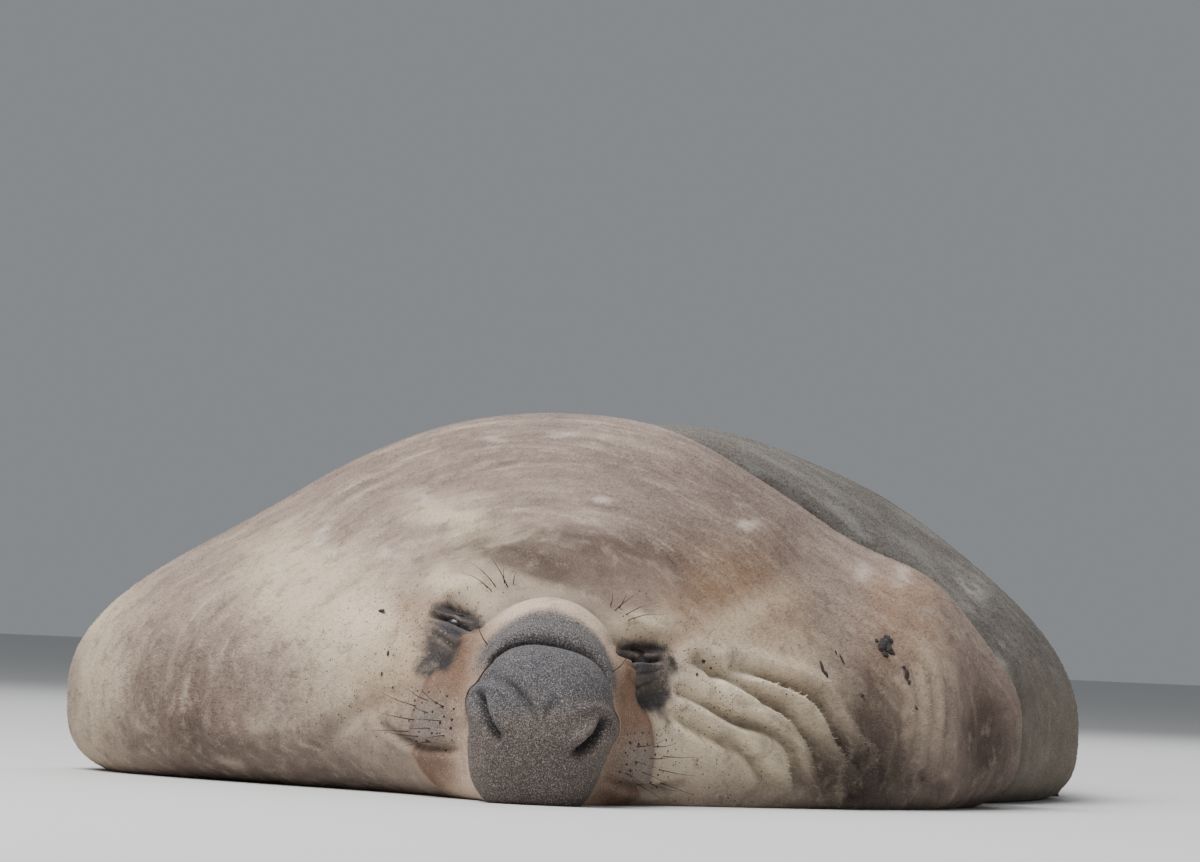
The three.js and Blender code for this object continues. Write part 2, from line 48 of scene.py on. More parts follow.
NOSE_AXIS_HEIGHT = 118.0
HEAD_ROLL = math.radians(8.5)
NOSE_DEPTH = 95.0
SIDES = {"right": -1, "left": 1}  # the animal's own right lies to -X


# The form of the body


@dataclass(frozen=True)
class Ring:
    """One ring of the body, in millimetres.

    back is how far it lies behind the nose. aside and mid place its middle, and half, up and down are its reach.
    slack pulls in its upper corners and square fills out its lower ones. roll is its share of the head's roll,
    and steps counts the rows of faces that lead up to it.
    """

    back: float
    aside: float
    mid: float
    half: float
    up: float
    down: float
    slack: float
    square: float
    roll: float
    steps: int


RINGS = {
    "bulb": Ring(95, 0, 118, 104, 119, 138, -0.09, 2.9, 1, 26),
    "nose_fold": Ring(124, -2, 118, 101, 111, 136, -0.09, 2.9, 1, 12),
    "lobe": Ring(138, -3, 118, 106, 146, 136, -0.07, 2.9, 1, 10),
    "lobe_crest": Ring(158, -4, 118, 120, 170, 136, -0.02, 2.9, 1, 9),
    "bridge": Ring(198, -6, 118, 158, 188, 138, 0.04, 2.9, 1, 14),
    "nose_root": Ring(242, -9, 118, 184, 197, 142, 0.08, 2.9, 1, 12),
    "orbit": Ring(282, -12, 119, 204, 200, 146, 0.06, 2.9, 1, 13),
    "brow": Ring(316, -8, 121, 236, 228, 152, 0.04, 3, 1, 14),
    "forehead": Ring(356, 0, 124, 286, 262, 158, 0.05, 3.1, 0.9, 15),
    "temple": Ring(420, 6, 126, 358, 298, 165, 0.08, 3.2, 0.8, 17),
    "nape": Ring(530, 5, 130, 480, 350, 174, 0.11, 3.4, 0.5, 22),
    "collar": Ring(730, 2, 135, 655, 418, 184, 0.13, 3.6, 0.2, 26),
    "hood": Ring(890, 4, 138, 747, 458, 190, 0.13, 3.8, 0, 16),
    "hood_crest": Ring(1010, 6, 138, 784, 478, 190, 0.13, 3.8, 0, 12),
    "hood_back": Ring(1110, 18, 138, 776, 476, 190, 0.13, 3.8, 0, 12),
    "neck_fold": Ring(1200, 50, 134, 724, 470, 184, 0.12, 3.8, 0, 14),
    "shoulder": Ring(1330, 105, 130, 722, 482, 180, 0.11, 3.8, 0, 12),
    "chest": Ring(1580, 185, 125, 724, 502, 178, 0.1, 3.75, 0, 12),
    "trunk": Ring(1850, 250, 120, 708, 514, 175, 0.09, 3.75, 0, 11),
    "flank": Ring(2150, 286, 118, 645, 494, 170, 0.07, 3.7, 0, 10),
    "belly": Ring(2500, 325, 116, 580, 448, 165, 0.05, 3.6, 0, 10),
    "loin": Ring(2900, 365, 112, 490, 380, 155, 0.03, 3.4, 0, 10),
    "haunch": Ring(3300, 385, 102, 376, 300, 138, 0.02, 3, 0, 10),
    "hip": Ring(3620, 395, 90, 268, 214, 116, 0, 2.6, 0, 10),
    "ankle": Ring(3880, 398, 76, 176, 138, 90, 0, 2.3, 0, 10),
    "tail_root": Ring(4010, 400, 62, 92, 74, 66, 0, 2.1, 0, 8),
    "tail": Ring(4110, 400, 46, 52, 30, 47, 0, 2, 0, 6),
    "tail_tip": Ring(4165, 400, 34, 4, 3, 3, 0, 2, 0, 8),
}
RING_NAMES = list(RINGS)


def ring_at(name: str) -> int:
    """Return the station of a named ring."""
    return RING_NAMES.index(name)


def window(values: np.ndarray) -> np.ndarray:
    """Return a smooth bump of height 1 that fades out over about 2 units."""
    return np.exp(-values * values)


def smoothstep(low: float, high: float, values: np.ndarray) -> np.ndarray:
    """Return 0 below low, 1 above high and a smooth rise between them."""
    share = np.clip((values - low) / (high - low), 0, 1)
    return share * share * (3 - 2 * share)


def leaned(x: np.ndarray, z: np.ndarray) -> tuple[np.ndarray, np.ndarray]:
    """Return places seen from the front, measured along axes that lean with the head."""
    cos, sin = math.cos(HEAD_ROLL), math.sin(HEAD_ROLL)
    return x * cos - z * sin, x * sin + z * cos


class SmoothCurve:
    """A smooth curve through values at 0, 1, 2, ... that never overshoots them."""

    def __init__(self, values: list[float]) -> None:
        """Work out the tangents at each value.

        Args:
            values: the heights of the curve, one for each whole number.
        """
        self.values = np.array(values, float)
        slopes = np.diff(self.values)
        product = slopes[:-1] * slopes[1:]
        total = slopes[:-1] + slopes[1:]
        inner = np.where(product > 0, 2 * product / np.where(total == 0, 1, total), 0)
        self.tangents = np.concatenate((slopes[:1], inner, slopes[-1:]))

    def __call__(self, t: np.ndarray) -> np.ndarray:
        """Return the curve's height at each t."""
        i = np.clip(np.floor(t).astype(int), 0, len(self.values) - 2)
        s = t - i
        rise = self.values[i + 1] - self.values[i]
        bend = 3 * rise - 2 * self.tangents[i] - self.tangents[i + 1]
        twist = self.tangents[i] + self.tangents[i + 1] - 2 * rise
        return self.values[i] + s * (self.tangents[i] + s * (bend + s * twist))


class LatticeNoise:
    """Smooth random values between -1 and 1 over space, the same on every run."""

    def __init__(self, seed: int) -> None:
        """Draw the values at the lattice's points.

        Args:
            seed: which set of values to draw.
        """
        self.values = np.random.default_rng(seed).uniform(-1, 1, (32, 32, 32))

    def __call__(self, points: np.ndarray, size: float | tuple[float, ...]) -> np.ndarray:
        """Return the value at each point.

        Args:
            points: places, the last axis being x, y and z.
            size: the lattice's spacing, in the same unit.
        """
        scaled = points / np.asarray(size, float)
        cell = np.floor(scaled).astype(int)
        share = scaled - cell
        share = share * share * (3 - 2 * share)
        total = np.zeros(points.shape[:-1])
        for corner in np.ndindex(2, 2, 2):
            weight = np.prod(np.where(corner, share, 1 - share), axis=-1)
            total += weight * self.values[tuple(np.moveaxis((cell + corner) % 32, -1, 0))]
        return total


class Zone(Enum):
    """How far back a fold or swelling of the skin reaches."""

    NOSE = "the rounded front of the nose"
    FACE = "from behind the nose to the nape"
    DEEP = "round a stated distance behind the nose"


@dataclass(frozen=True)
class Swelling:
    """A smooth rise or hollow of the skin, seen from the front, in millimetres."""

    x: float
    z: float
    wide: float
    high: float
    lift: float
    tilt: float = 0.0
    zone: Zone = Zone.FACE
    leaning: bool = True
    back: float = 0.0
    deep: float = 1.0


@dataclass(frozen=True)
class Fold:
    """A groove with a low lip on either side, along points seen from the front, in millimetres."""

    path: tuple[tuple[float, float], ...]
    wide: float
    deep: float
    lip: float = 0.3
    zone: Zone = Zone.FACE
    leaning: bool = True
    back: float = 0.0
    reach: float = 1.0


NEARER_BETTER = 0.03  # how much a search from the front prefers the nearer of two places
CRINKLE_DEPTH = 3.6
CRINKLE_SIZES = (52.0, 17.0, 80.0)  # along the jowl's folds, across them and into the face


class BodyForm:
    """The shape of the skin as a function of station along the body and angle round it."""

    def __init__(self, swellings: list[Swelling], folds: list[Fold]) -> None:
        """Make the curves through the rings.

        Args:
            swellings: rises and hollows added to the plain form.
            folds: grooves added to the plain form.
        """
        self.swellings = swellings
        self.folds = folds
        self.creases = LatticeNoise(5)
        keys = ("back", "aside", "mid", "half", "up", "down", "slack", "square", "roll")
        self.curves = {key: SmoothCurve([getattr(ring, key) for ring in RINGS.values()]) for key in keys}

    def plain(self, station: np.ndarray, angle: np.ndarray) -> np.ndarray:
        """Return points of the form without folds.

        Args:
            station: -1 at the tip of the nose and n at the nth ring.
            angle: 0 at the top, growing towards +X.

        Returns:
            An array of points in millimetres from the nose, x aside, y behind and z above the floor.
        """
        t = np.maximum(station, 0)
        cap = np.where(station < 0, np.arccos(np.clip(-station, 0, 1)), math.pi / 2)
        size = np.sin(cap)
        back = np.where(station < 0, NOSE_DEPTH * (1 - np.cos(cap)), self.curves["back"](t))
        side, height = np.sin(angle), np.cos(angle)
        fall = 1 - self.curves["slack"](t) * np.sin(2 * angle) ** 2
        power = 2 / self.curves["square"](t)
        upper = height > 0
        side = np.where(upper, side * fall, np.sign(side) * np.abs(side) ** power)
        height = np.where(upper, height * fall, -(np.abs(height) ** power))
        across = side * self.curves["half"](t) * size
        above = height * np.where(upper, self.curves["up"](t), self.curves["down"](t)) * size
        roll = HEAD_ROLL * self.curves["roll"](t)
        x = self.curves["aside"](t) + across * np.cos(roll) + above * np.sin(roll)
        z = self.curves["mid"](t) - across * np.sin(roll) + above * np.cos(roll)
        return np.stack((x, back, z), axis=-1)

    def normal(self, station: np.ndarray, angle: np.ndarray) -> np.ndarray:
        """Return the way the plain form faces at each point."""
        step = 0.01
        last = len(RINGS) - 1
        ahead = self.plain(np.maximum(station - step, -1), angle)
        behind = self.plain(np.minimum(station + step, last), angle)
        around = self.plain(station, angle + step) - self.plain(station, angle - step)
        normal = np.cross(around, behind - ahead)
        length = np.linalg.norm(normal, axis=-1, keepdims=True)
        return np.where(length > 1e-9, normal / np.maximum(length, 1e-9), (0.0, -1.0, 0.0))

    def reach(self, form: Swelling | Fold, back: np.ndarray) -> np.ndarray:
        """Return how strongly a fold or swelling acts at each distance behind the nose."""
        if form.zone is Zone.NOSE:
            return 1 - smoothstep(140, 152, back)
        if form.zone is Zone.DEEP:
            return window((back - form.back) / (form.deep if isinstance(form, Swelling) else form.reach))
        return smoothstep(130, 170, back) * (1 - smoothstep(620, 760, back))

    def relief(self, point: np.ndarray) -> np.ndarray:
        """Return how far folds and swellings lift the skin at each plain point, in millimetres."""
        x, back, z = point[..., 0], point[..., 1], point[..., 2] - NOSE_AXIS_HEIGHT
        head_x, head_z = leaned(x, z)
        lift = np.zeros_like(x)
        for swelling in self.swellings:
            u = (head_x if swelling.leaning else x) - swelling.x
            v = (head_z if swelling.leaning else z) - swelling.z
            along = u * math.cos(swelling.tilt) - v * math.sin(swelling.tilt)
            above = u * math.sin(swelling.tilt) + v * math.cos(swelling.tilt)
            bump = window(np.hypot(along / swelling.wide, above / swelling.high))
            lift += swelling.lift * bump * self.reach(swelling, back)
        for fold in self.folds:
            u, v = (head_x, head_z) if fold.leaning else (x, z)
            lift -= self.groove(fold, u, v) * self.reach(fold, back)
        return lift - CRINKLE_DEPTH * self.crinkle(x, back, z)

    def groove(self, fold: Fold, u: np.ndarray, v: np.ndarray) -> np.ndarray:
        """Return the depth of one fold at each place seen from the front."""
        curve_x, curve_z = (SmoothCurve(list(values)) for values in zip(*fold.path))
        shares = np.linspace(0, len(fold.path) - 1, 5 * (len(fold.path) - 1) + 1)
        points = np.stack((curve_x(shares), curve_z(shares)), axis=-1)
        runs = np.diff(points, axis=0)
        lengths = np.hypot(runs[:, 0], runs[:, 1])
        starts = np.concatenate(((0,), np.cumsum(lengths)))
        nearest = np.full(u.shape, 1e9)
        place = np.zeros_like(u)
        for (px, pz), (rx, rz), length, start in zip(points, runs, lengths, starts):
            share = np.clip(((u - px) * rx + (v - pz) * rz) / length**2, 0, 1)
            off = np.hypot(u - px - share * rx, v - pz - share * rz)
            closer = off < nearest
            nearest = np.where(closer, off, nearest)
            place = np.where(closer, (start + share * length) / starts[-1], place)
        taper = np.sqrt(np.sin(math.pi * (0.06 + 0.88 * place)))
        lips = fold.lip * window((nearest - 2.3 * fold.wide) / (1.2 * fold.wide))
        return fold.deep * taper * (window(nearest / fold.wide) - lips)

    def crinkle(self, x: np.ndarray, back: np.ndarray, z: np.ndarray) -> np.ndarray:
        """Return how strongly each place lies in a small crease of the jowl's loose skin, from 0 to 1."""
        along, across = 0.77 * x - 0.64 * z, 0.64 * x + 0.77 * z
        field_ = self.creases(np.stack((along, across, back), axis=-1), CRINKLE_SIZES)
        loose = window(np.hypot((x - 365) / 150, (z - 5) / 105) ** 1.5) * (1 - smoothstep(620, 760, back))
        return window(field_ / 0.3) * loose

    def crease_depth(self, point: np.ndarray) -> np.ndarray:
        """Return how deep in a fold each plain point lies, in millimetres."""
        x, back, z = point[..., 0], point[..., 1], point[..., 2] - NOSE_AXIS_HEIGHT
        depth = np.zeros_like(x)
        for fold in self.folds:
            if fold.deep > 0:
                u, v = leaned(x, z) if fold.leaning else (x, z)
                depth = np.maximum(depth, self.groove(fold, u, v) * self.reach(fold, back))
        return depth

    def neck_fold(self, station: np.ndarray, angle: np.ndarray) -> np.ndarray:
        """Return the lift of the fold where the neck's roll lies over the shoulders."""
        side = np.sin(angle)
        deep = 10 + 38 * np.maximum(0, side) + 14 * np.maximum(0, -side)
        return -deep * window((station - ring_at("neck_fold")) / 0.42)

    def nose_folds(self, station: np.ndarray, angle: np.ndarray) -> np.ndarray:
        """Return the lift of the two folds that ring the nose, behind its rounded front and at its root."""
        upper = smoothstep(-0.75, 0.1, np.cos(angle))
        front = window((station - ring_at("nose_fold") + 0.15) / 0.26) - 0.3 * window((station - 1.75) / 0.5)
        root = window((station - ring_at("nose_root") - 0.25) / 0.42)
        return -upper * (20 * front + 9 * root)

    def overhang(self, station: np.ndarray, angle: np.ndarray) -> np.ndarray:
        """Return how far forward the skin leans over the crease behind the rounded front of the nose."""
        upper = smoothstep(-0.2, 0.5, np.cos(angle))
        return 15 * upper * window((station - ring_at("lobe") + 0.35) / 0.55)

    def skin(self, station: np.ndarray, angle: np.ndarray, lift: np.ndarray | float = 0.0) -> np.ndarray:
        """Return points of the finished skin in the frame, in millimetres.

        Args:
            station: where along the body.
            angle: where round it.
            lift: how far to move each point out.
        """
        plain = self.plain(station, angle)
        out = self.relief(plain) + self.neck_fold(station, angle) + self.nose_folds(station, angle) + lift
        point = plain + self.normal(station, angle) * out[..., None] + NOSE_TO_ORIGIN
        point[..., 1] -= self.overhang(station, angle)
        point[..., 2] = np.maximum(point[..., 2], 0)
        return point

    def front_view(self, point: np.ndarray, leaning: bool = True) -> np.ndarray:
        """Return places in the frame as x and z seen from the front, leaning with the head or not."""
        x = point[..., 0] - NOSE_TO_ORIGIN[0]
        z = point[..., 2] - NOSE_AXIS_HEIGHT
        return np.stack(leaned(x, z) if leaning else (x, z), axis=-1)

    def find(self, places: np.ndarray, leaning: bool = True) -> tuple[np.ndarray, np.ndarray]:
        """Return the station and angle of places on the head and neck.

        Args:
            places: rows of x and z as seen from the front.
            leaning: whether they lean with the head.
        """
        stations = np.linspace(-0.95, ring_at("hood_crest"), 220)
        angles = np.linspace(-math.pi, math.pi, 241)[:-1]
        station, angle = (values.ravel() for values in np.meshgrid(stations, angles))
        point = self.skin(station, angle)
        seen = self.front_view(point, leaning)
        miss = np.linalg.norm(seen[None] - places[:, None], axis=-1)
        best = np.argmin(miss + NEARER_BETTER * (point[:, 1] - NOSE_TO_ORIGIN[1]), axis=1)
        station, angle = station[best], angle[best]
        steps = np.linspace(-1, 1, 5)
        for reach in (0.08, 0.03, 0.01, 0.003):
            near_station = station[:, None, None] + reach * steps[:, None]
            near_angle = angle[:, None, None] + 0.4 * reach * steps[None, :]
            near_station, near_angle = np.broadcast_arrays(near_station, near_angle)
            seen = self.front_view(self.skin(near_station, near_angle), leaning)
            miss = np.linalg.norm(seen - places[:, None, None], axis=-1).reshape(len(places), -1)
            best = np.argmin(miss, axis=1)
            station = near_station.reshape(len(places), -1)[np.arange(len(places)), best]
            angle = near_angle.reshape(len(places), -1)[np.arange(len(places)), best]
        return station, angle


def seal_form() -> BodyForm:
    """Return the body with every swelling and fold that the seal has."""
    deep = Zone.DEEP
    nose = Zone.NOSE
    swellings = [
        Swelling(-10, 236, 110, 20, -9),  # hollow over the root of the nose
        Swelling(-8, 292, 180, 26, 10),  # roll on the forehead
        Swelling(-162, 146, 44, 22, -17, 0.1),  # hollows over the closed eyes
        Swelling(133, 145, 42, 20, -19, -0.1),
        Swelling(-164, 112, 34, 13, 7, 0.1),  # lower lids
        Swelling(136, 112, 32, 13, 7, -0.1),
        Swelling(-170, 72, 40, 24, -10, 0.5),  # hollows below the eyes
        Swelling(152, 74, 34, 34, -14, -0.5),
        Swelling(-160, -30, 44, 40, 15),  # whisker pads
        Swelling(150, -30, 44, 40, 15),
        Swelling(-262, 126, 12, 12, -12),  # ear holes
        Swelling(250, 124, 12, 12, -12),
        Swelling(-84, 4, 30, 32, 11, 0.2, nose),  # sides of the nostrils
        Swelling(80, 4, 30, 32, 11, -0.2, nose),
        Swelling(30, -10, 70, 30, 5, 0, nose),  # low part of the nose
        Swelling(625, 262, 95, 60, 26, 0.6, deep, False, 950, 240),
        Swelling(712, 30, 42, 95, -24, 0, deep, False, 900, 260),
        Swelling(575, 70, 70, 150, 12, 0.15, deep, False, 720, 240),
        Swelling(482, -52, 40, 36, 20, 0, deep, False, 560, 220),  # heavy end of the jowl
        Swelling(455, 490, 150, 70, -13, 0.3, deep, False, 1850, 400),
        Swelling(190, 486, 130, 60, 9, 0.1, deep, False, 1030, 200),
        Swelling(-300, 330, 120, 60, 8, 0.6, deep, False, 700, 260),  # low swells on the crown
        Swelling(60, 380, 150, 40, -6, 0, deep, False, 720, 200),
        Swelling(330, 300, 130, 40, 8, -0.6, deep, False, 700, 240),
    ]
    folds = [
        Fold(((-199, 131), (-172, 131), (-150, 127), (-124, 133)), 4, 13, 0.35),  # slits of the closed eyes
        Fold(((101, 132), (124, 127), (144, 127), (165, 131)), 4, 13, 0.35),
        Fold(((-194, 146), (-166, 150), (-136, 146)), 4, 4),  # creases of the upper lids
        Fold(((106, 146), (134, 150), (162, 144)), 4, 5),
        Fold(((-192, 118), (-160, 108), (-132, 116)), 3, 4),  # wrinkles of the lower lids
        Fold(((-190, 104), (-158, 94), (-130, 104)), 3.5, 4),
        Fold(((112, 112), (138, 108), (166, 118)), 3, 4),
        Fold(((116, 98), (140, 94), (166, 104)), 3.5, 4),
        Fold(((-190, 152), (-164, 178), (-138, 190), (-104, 192)), 13, -10, 0),  # ridges of the brows
        Fold(((86, 181), (112, 180), (134, 173), (156, 156), (168, 138)), 13, -11, 0),
        Fold(((-92, 24), (-84, 6), (-74, -12), (-60, -30)), 6, 24, 0.15, nose),  # nostrils
        Fold(((86, 24), (80, 6), (70, -12), (58, -30)), 6, 24, 0.15, nose),
        Fold(((-108, -4), (-105, 20), (-94, 36), (-74, 42), (-48, 32)), 7, -7, 0, nose),  # the nostrils' rims
        Fold(((104, -4), (101, 20), (90, 36), (72, 42), (48, 32)), 7, -7, 0, nose),
        Fold(((-66, 12), (-58, -6), (-44, -22)), 6, -5, 0, nose),
        Fold(((64, 12), (56, -6), (42, -22)), 6, -5, 0, nose),
        Fold(((-78, 54), (-46, 44), (-24, 26), (-6, 20), (16, 34)), 7, 10, 0.35, nose),  # over the nostril
        Fold(((-92, 80), (-103, 54), (-108, 22), (-106, -34)), 3.2, 5.5, 0.4, nose),  # beside the nostril
        Fold(((-84, 66), (-95, 46), (-99, 20)), 3, 4, 0.4, nose),
        Fold(((-118, -62), (-180, -68), (-238, -48)), 6, 12),  # corners of the mouth
        Fold(((112, -62), (172, -68), (230, -48)), 6, 12),
        *(
            Fold(path, wide, deep, lip, leaning=False)
            for wide, deep, lip, path in (
                (8, 17, 0.5, ((214, 56), (262, 36), (302, 15), (352, 5), (392, -30), (404, -84))),
                (9, 21, 0.5, ((236, 104), (290, 82), (335, 58), (398, 16), (428, -24), (448, -86))),
                (6, 9, 0.4, ((300, 42), (336, 34), (370, 14), (408, -22), (424, -70))),
                (9, 13, 0.4, ((200, 22), (262, -8), (318, -34), (356, -84))),
                (9, 24, 0.5, (
                    (290, 100), (350, 84), (430, 51), (450, 14), (468, -20), (497, -60), (486, -96),
                )),
            )
        ),  # folds of the jowl
        Fold(((470, 60), (505, 20), (528, -30), (534, -90)), 12, 12, 0.4, deep, False, 640, 200),
        Fold(((560, -84), (600, -62), (640, -84)), 10, 16, 0.3, deep, False, 800, 200),
        Fold(((-205, 40), (-290, 0), (-360, -70)), 14, 8, leaning=False),
        Fold(((-560, 150), (-600, 60), (-610, -60)), 13, 9, 0.4, deep, False, 800, 200),  # side of the hood
        Fold(((-500, 130), (-540, 40), (-545, -70)), 12, 7, 0.4, deep, False, 760, 200),
        Fold(((-620, 130), (-655, 40), (-660, -60)), 12, 7, 0.4, deep, False, 840, 200),
    ]
    folds += [
        Fold(((x, high), (x + 14, 40), (x + 6, -90)), 7, 5, 0.5, deep, False, 700, 160)
        for x, high in ((548, 96), (574, 120), (603, 104), (632, 128))
    ]  # upright wrinkles where the neck bends
    return BodyForm(swellings, folds)


# Colour


def srgb(red: int, green: int, blue: int) -> tuple[float, float, float]:
    """Return a colour given as it looks on a screen as the linear colour that a shader takes."""
    shares = (red / 255, green / 255, blue / 255)
    return tuple(c / 12.92 if c <= 0.04045 else ((c + 0.055) / 1.055) ** 2.4 for c in shares)


@dataclass(frozen=True)
class Patch:
    """A soft-edged patch of one tone, seen from the front of the head, in millimetres."""

    tone: tuple[float, float, float]
    x: float
    z: float
    wide: float
    high: float
    strength: float = 1.0
    tilt: float = 0.0
    back: float = 400.0
    deep: float = 260.0
    leaning: bool = True


TAUPE = srgb(150, 130, 118)
BROWN = srgb(104, 84, 72)
DEEP_BROWN = srgb(66, 50, 42)
OCHRE = srgb(158, 118, 80)
CREAM = srgb(218, 198, 170)
YELLOW_CREAM = srgb(246, 226, 196)
SLATE = srgb(98, 96, 99)
WARM_SLATE = srgb(116, 102, 93)
TAN = srgb(226, 198, 174)
ROSE_BROWN = srgb(136, 102, 78)
# near black of the wet marks at the eyes, also laid as painted shade in the eye slits and nostrils
WET_STAIN_AND_SHADE = srgb(22, 22, 27)
LID = srgb(62, 63, 72)
BACK_GREY = srgb(86, 80, 72)
BELLY_TAN = srgb(138, 126, 110)
LIMB = srgb(88, 76, 68)
PAD_GREY = srgb(140, 128, 118)
DUST_WHITE = srgb(176, 171, 164)
DRIED_BLOOD = srgb(96, 58, 48)
SCUFF = srgb(218, 206, 190)

PATCHES = (
    Patch(CREAM, -620, 80, 120, 190, 0.15, 0, 900, 420, False),
    Patch(CREAM, -722, 60, 50, 200, 0.7, 0, 980, 420, False),
    Patch(BROWN, -520, -10, 130, 100, 0.75, 0.3, 800, 320, False),
    Patch(BROWN, -470, 250, 120, 40, 0.3, 0.6, 800, 320, False),
    Patch(CREAM, -380, 200, 210, 70, 0.75, 0.55, 560, 300, False),
    Patch(CREAM, -300, 60, 150, 110, 0.6, 0.2, 420, 260),
    Patch(OCHRE, -236, 40, 60, 70, 0.35, 0.4, 330, 160),
    Patch(OCHRE, -205, 130, 40, 40, 0.4, 0.3, 330, 160),
    Patch(TAUPE, -400, 30, 70, 90, 0.5, 0.5, 700, 300, False),
    Patch(YELLOW_CREAM, -265, 84, 60, 50, 0.3),
    Patch(CREAM, -150, 262, 210, 34, 0.85, 0.42, 420, 200),
    Patch(DEEP_BROWN, -72, 240, 120, 24, 0.85, 0.15, 350, 160),
    Patch(DEEP_BROWN, 10, 276, 130, 22, 0.75, -0.1, 380, 160),
    Patch(BROWN, 120, 300, 130, 36, 0.5, -0.4, 420, 200),
    Patch(BROWN, 10, 420, 300, 50, 0.35, 0.0, 760, 300, False),
    Patch(BROWN, 330, 330, 330, 130, 0.5, -0.6, 700, 420, False),
    Patch(OCHRE, 250, 190, 120, 60, 0.5, -0.7, 480, 260, False),
    Patch(OCHRE, 360, 140, 60, 90, 0.55, -0.4, 600, 260, False),
    Patch(DEEP_BROWN, 440, 60, 60, 160, 0.45, -0.4, 700, 260, False),
    Patch(DEEP_BROWN, 522, 34, 46, 120, 0.8, 0, 580, 220, False),
    Patch(CREAM, 300, 172, 130, 24, 0.5, -0.55, 420, 220, False),
    Patch(YELLOW_CREAM, 286, 32, 140, 78, 1.0, -0.5, 400, 260, False),
    Patch(YELLOW_CREAM, 350, -30, 90, 60, 0.9, -0.5, 480, 260, False),
    Patch(OCHRE, 572, 190, 70, 100, 0.45, 0, 780, 260, False),
    Patch(CREAM, 606, 50, 44, 84, 0.45, 0, 680, 240, False),
    # painted shade in the hollow low on the side of the hood
    Patch(DEEP_BROWN, 726, 0, 46, 86, 0.85, 0, 880, 260, False),
    Patch(DEEP_BROWN, 486, -66, 70, 50, 0.8, 0, 560, 260, False),
    Patch(CREAM, -155, 188, 62, 20, 0.9, 0.3, 330, 120),
    Patch(CREAM, 128, 182, 54, 18, 0.9, -0.3, 330, 120),
)

# Pale scuffs and streaks of dust or dried blood, wherever they lie on the body.
SCUFFS = (
    Patch(SCUFF, -353, 284, 10, 22, 0.8, 0.3, 670, 90, False),
    Patch(SCUFF, -429, 216, 28, 7, 0.6, 0.7, 626, 90, False),
    Patch(SCUFF, -334, 248, 34, 8, 0.6, 0.6, 577, 90, False),
    Patch(SCUFF, -261, 251, 32, 7, 0.6, 0.5, 505, 90, False),
    Patch(SCUFF, -168, 294, 40, 8, 0.5, 0.4, 487, 90, False),
    Patch(SCUFF, -85, 453, 22, 6, 0.4, 0.1, 816, 90, False),
    Patch(SCUFF, 19, 461, 24, 6, 0.5, 0, 820, 90, False),
    Patch(SCUFF, -184, 333, 28, 7, 0.5, 0.5, 572, 90, False),
    Patch(SCUFF, 85, 356, 18, 6, 0.5, -0.1, 537, 90, False),
    Patch(SCUFF, 315, 324, 16, 9, 0.7, -0.5, 717, 90, False),
    Patch(SCUFF, 508, 256, 11, 13, 0.5, -0.6, 838, 90, False),
    Patch(SCUFF, 566, 248, 11, 16, 0.6, -0.6, 915, 90, False),
    Patch(SCUFF, 609, 190, 10, 13, 0.4, -1.0, 838, 90, False),
    Patch(DRIED_BLOOD, 570, 60, 9, 56, 0.5, 0.05, 650, 120, False),
    Patch(DUST_WHITE, 735, 250, 30, 66, 0.6, 0.7, 1533, 260, False),
    Patch(DUST_WHITE, 768, 110, 16, 70, 0.6, 0.25, 1290, 120, False),
)


# Dark wet marks at the eyes, on the leaning head: x, z, half width, half height, tilt and strength.
STAINS = (
    (-163, 141, 46, 17, 0.05, 1.0), (-168, 82, 36, 32, 0.6, 1.3), (-124, 126, 16, 16, 0, 0.8),
    (-192, 54, 20, 26, 0.5, 0.75), (136, 139, 42, 18, -0.1, 1.1), (164, 88, 24, 42, -0.28, 1.1),
    (108, 128, 14, 15, 0, 0.9), (176, 126, 14, 20, -0.5, 0.9), (184, 50, 12, 24, -0.5, 0.6),
)
MASKS = ("sand", "specks", "wet", "streak", "dust", "crease")
NOSTRIL_DEPTH = 20  # folds of the nose deeper than this get painted shade inside
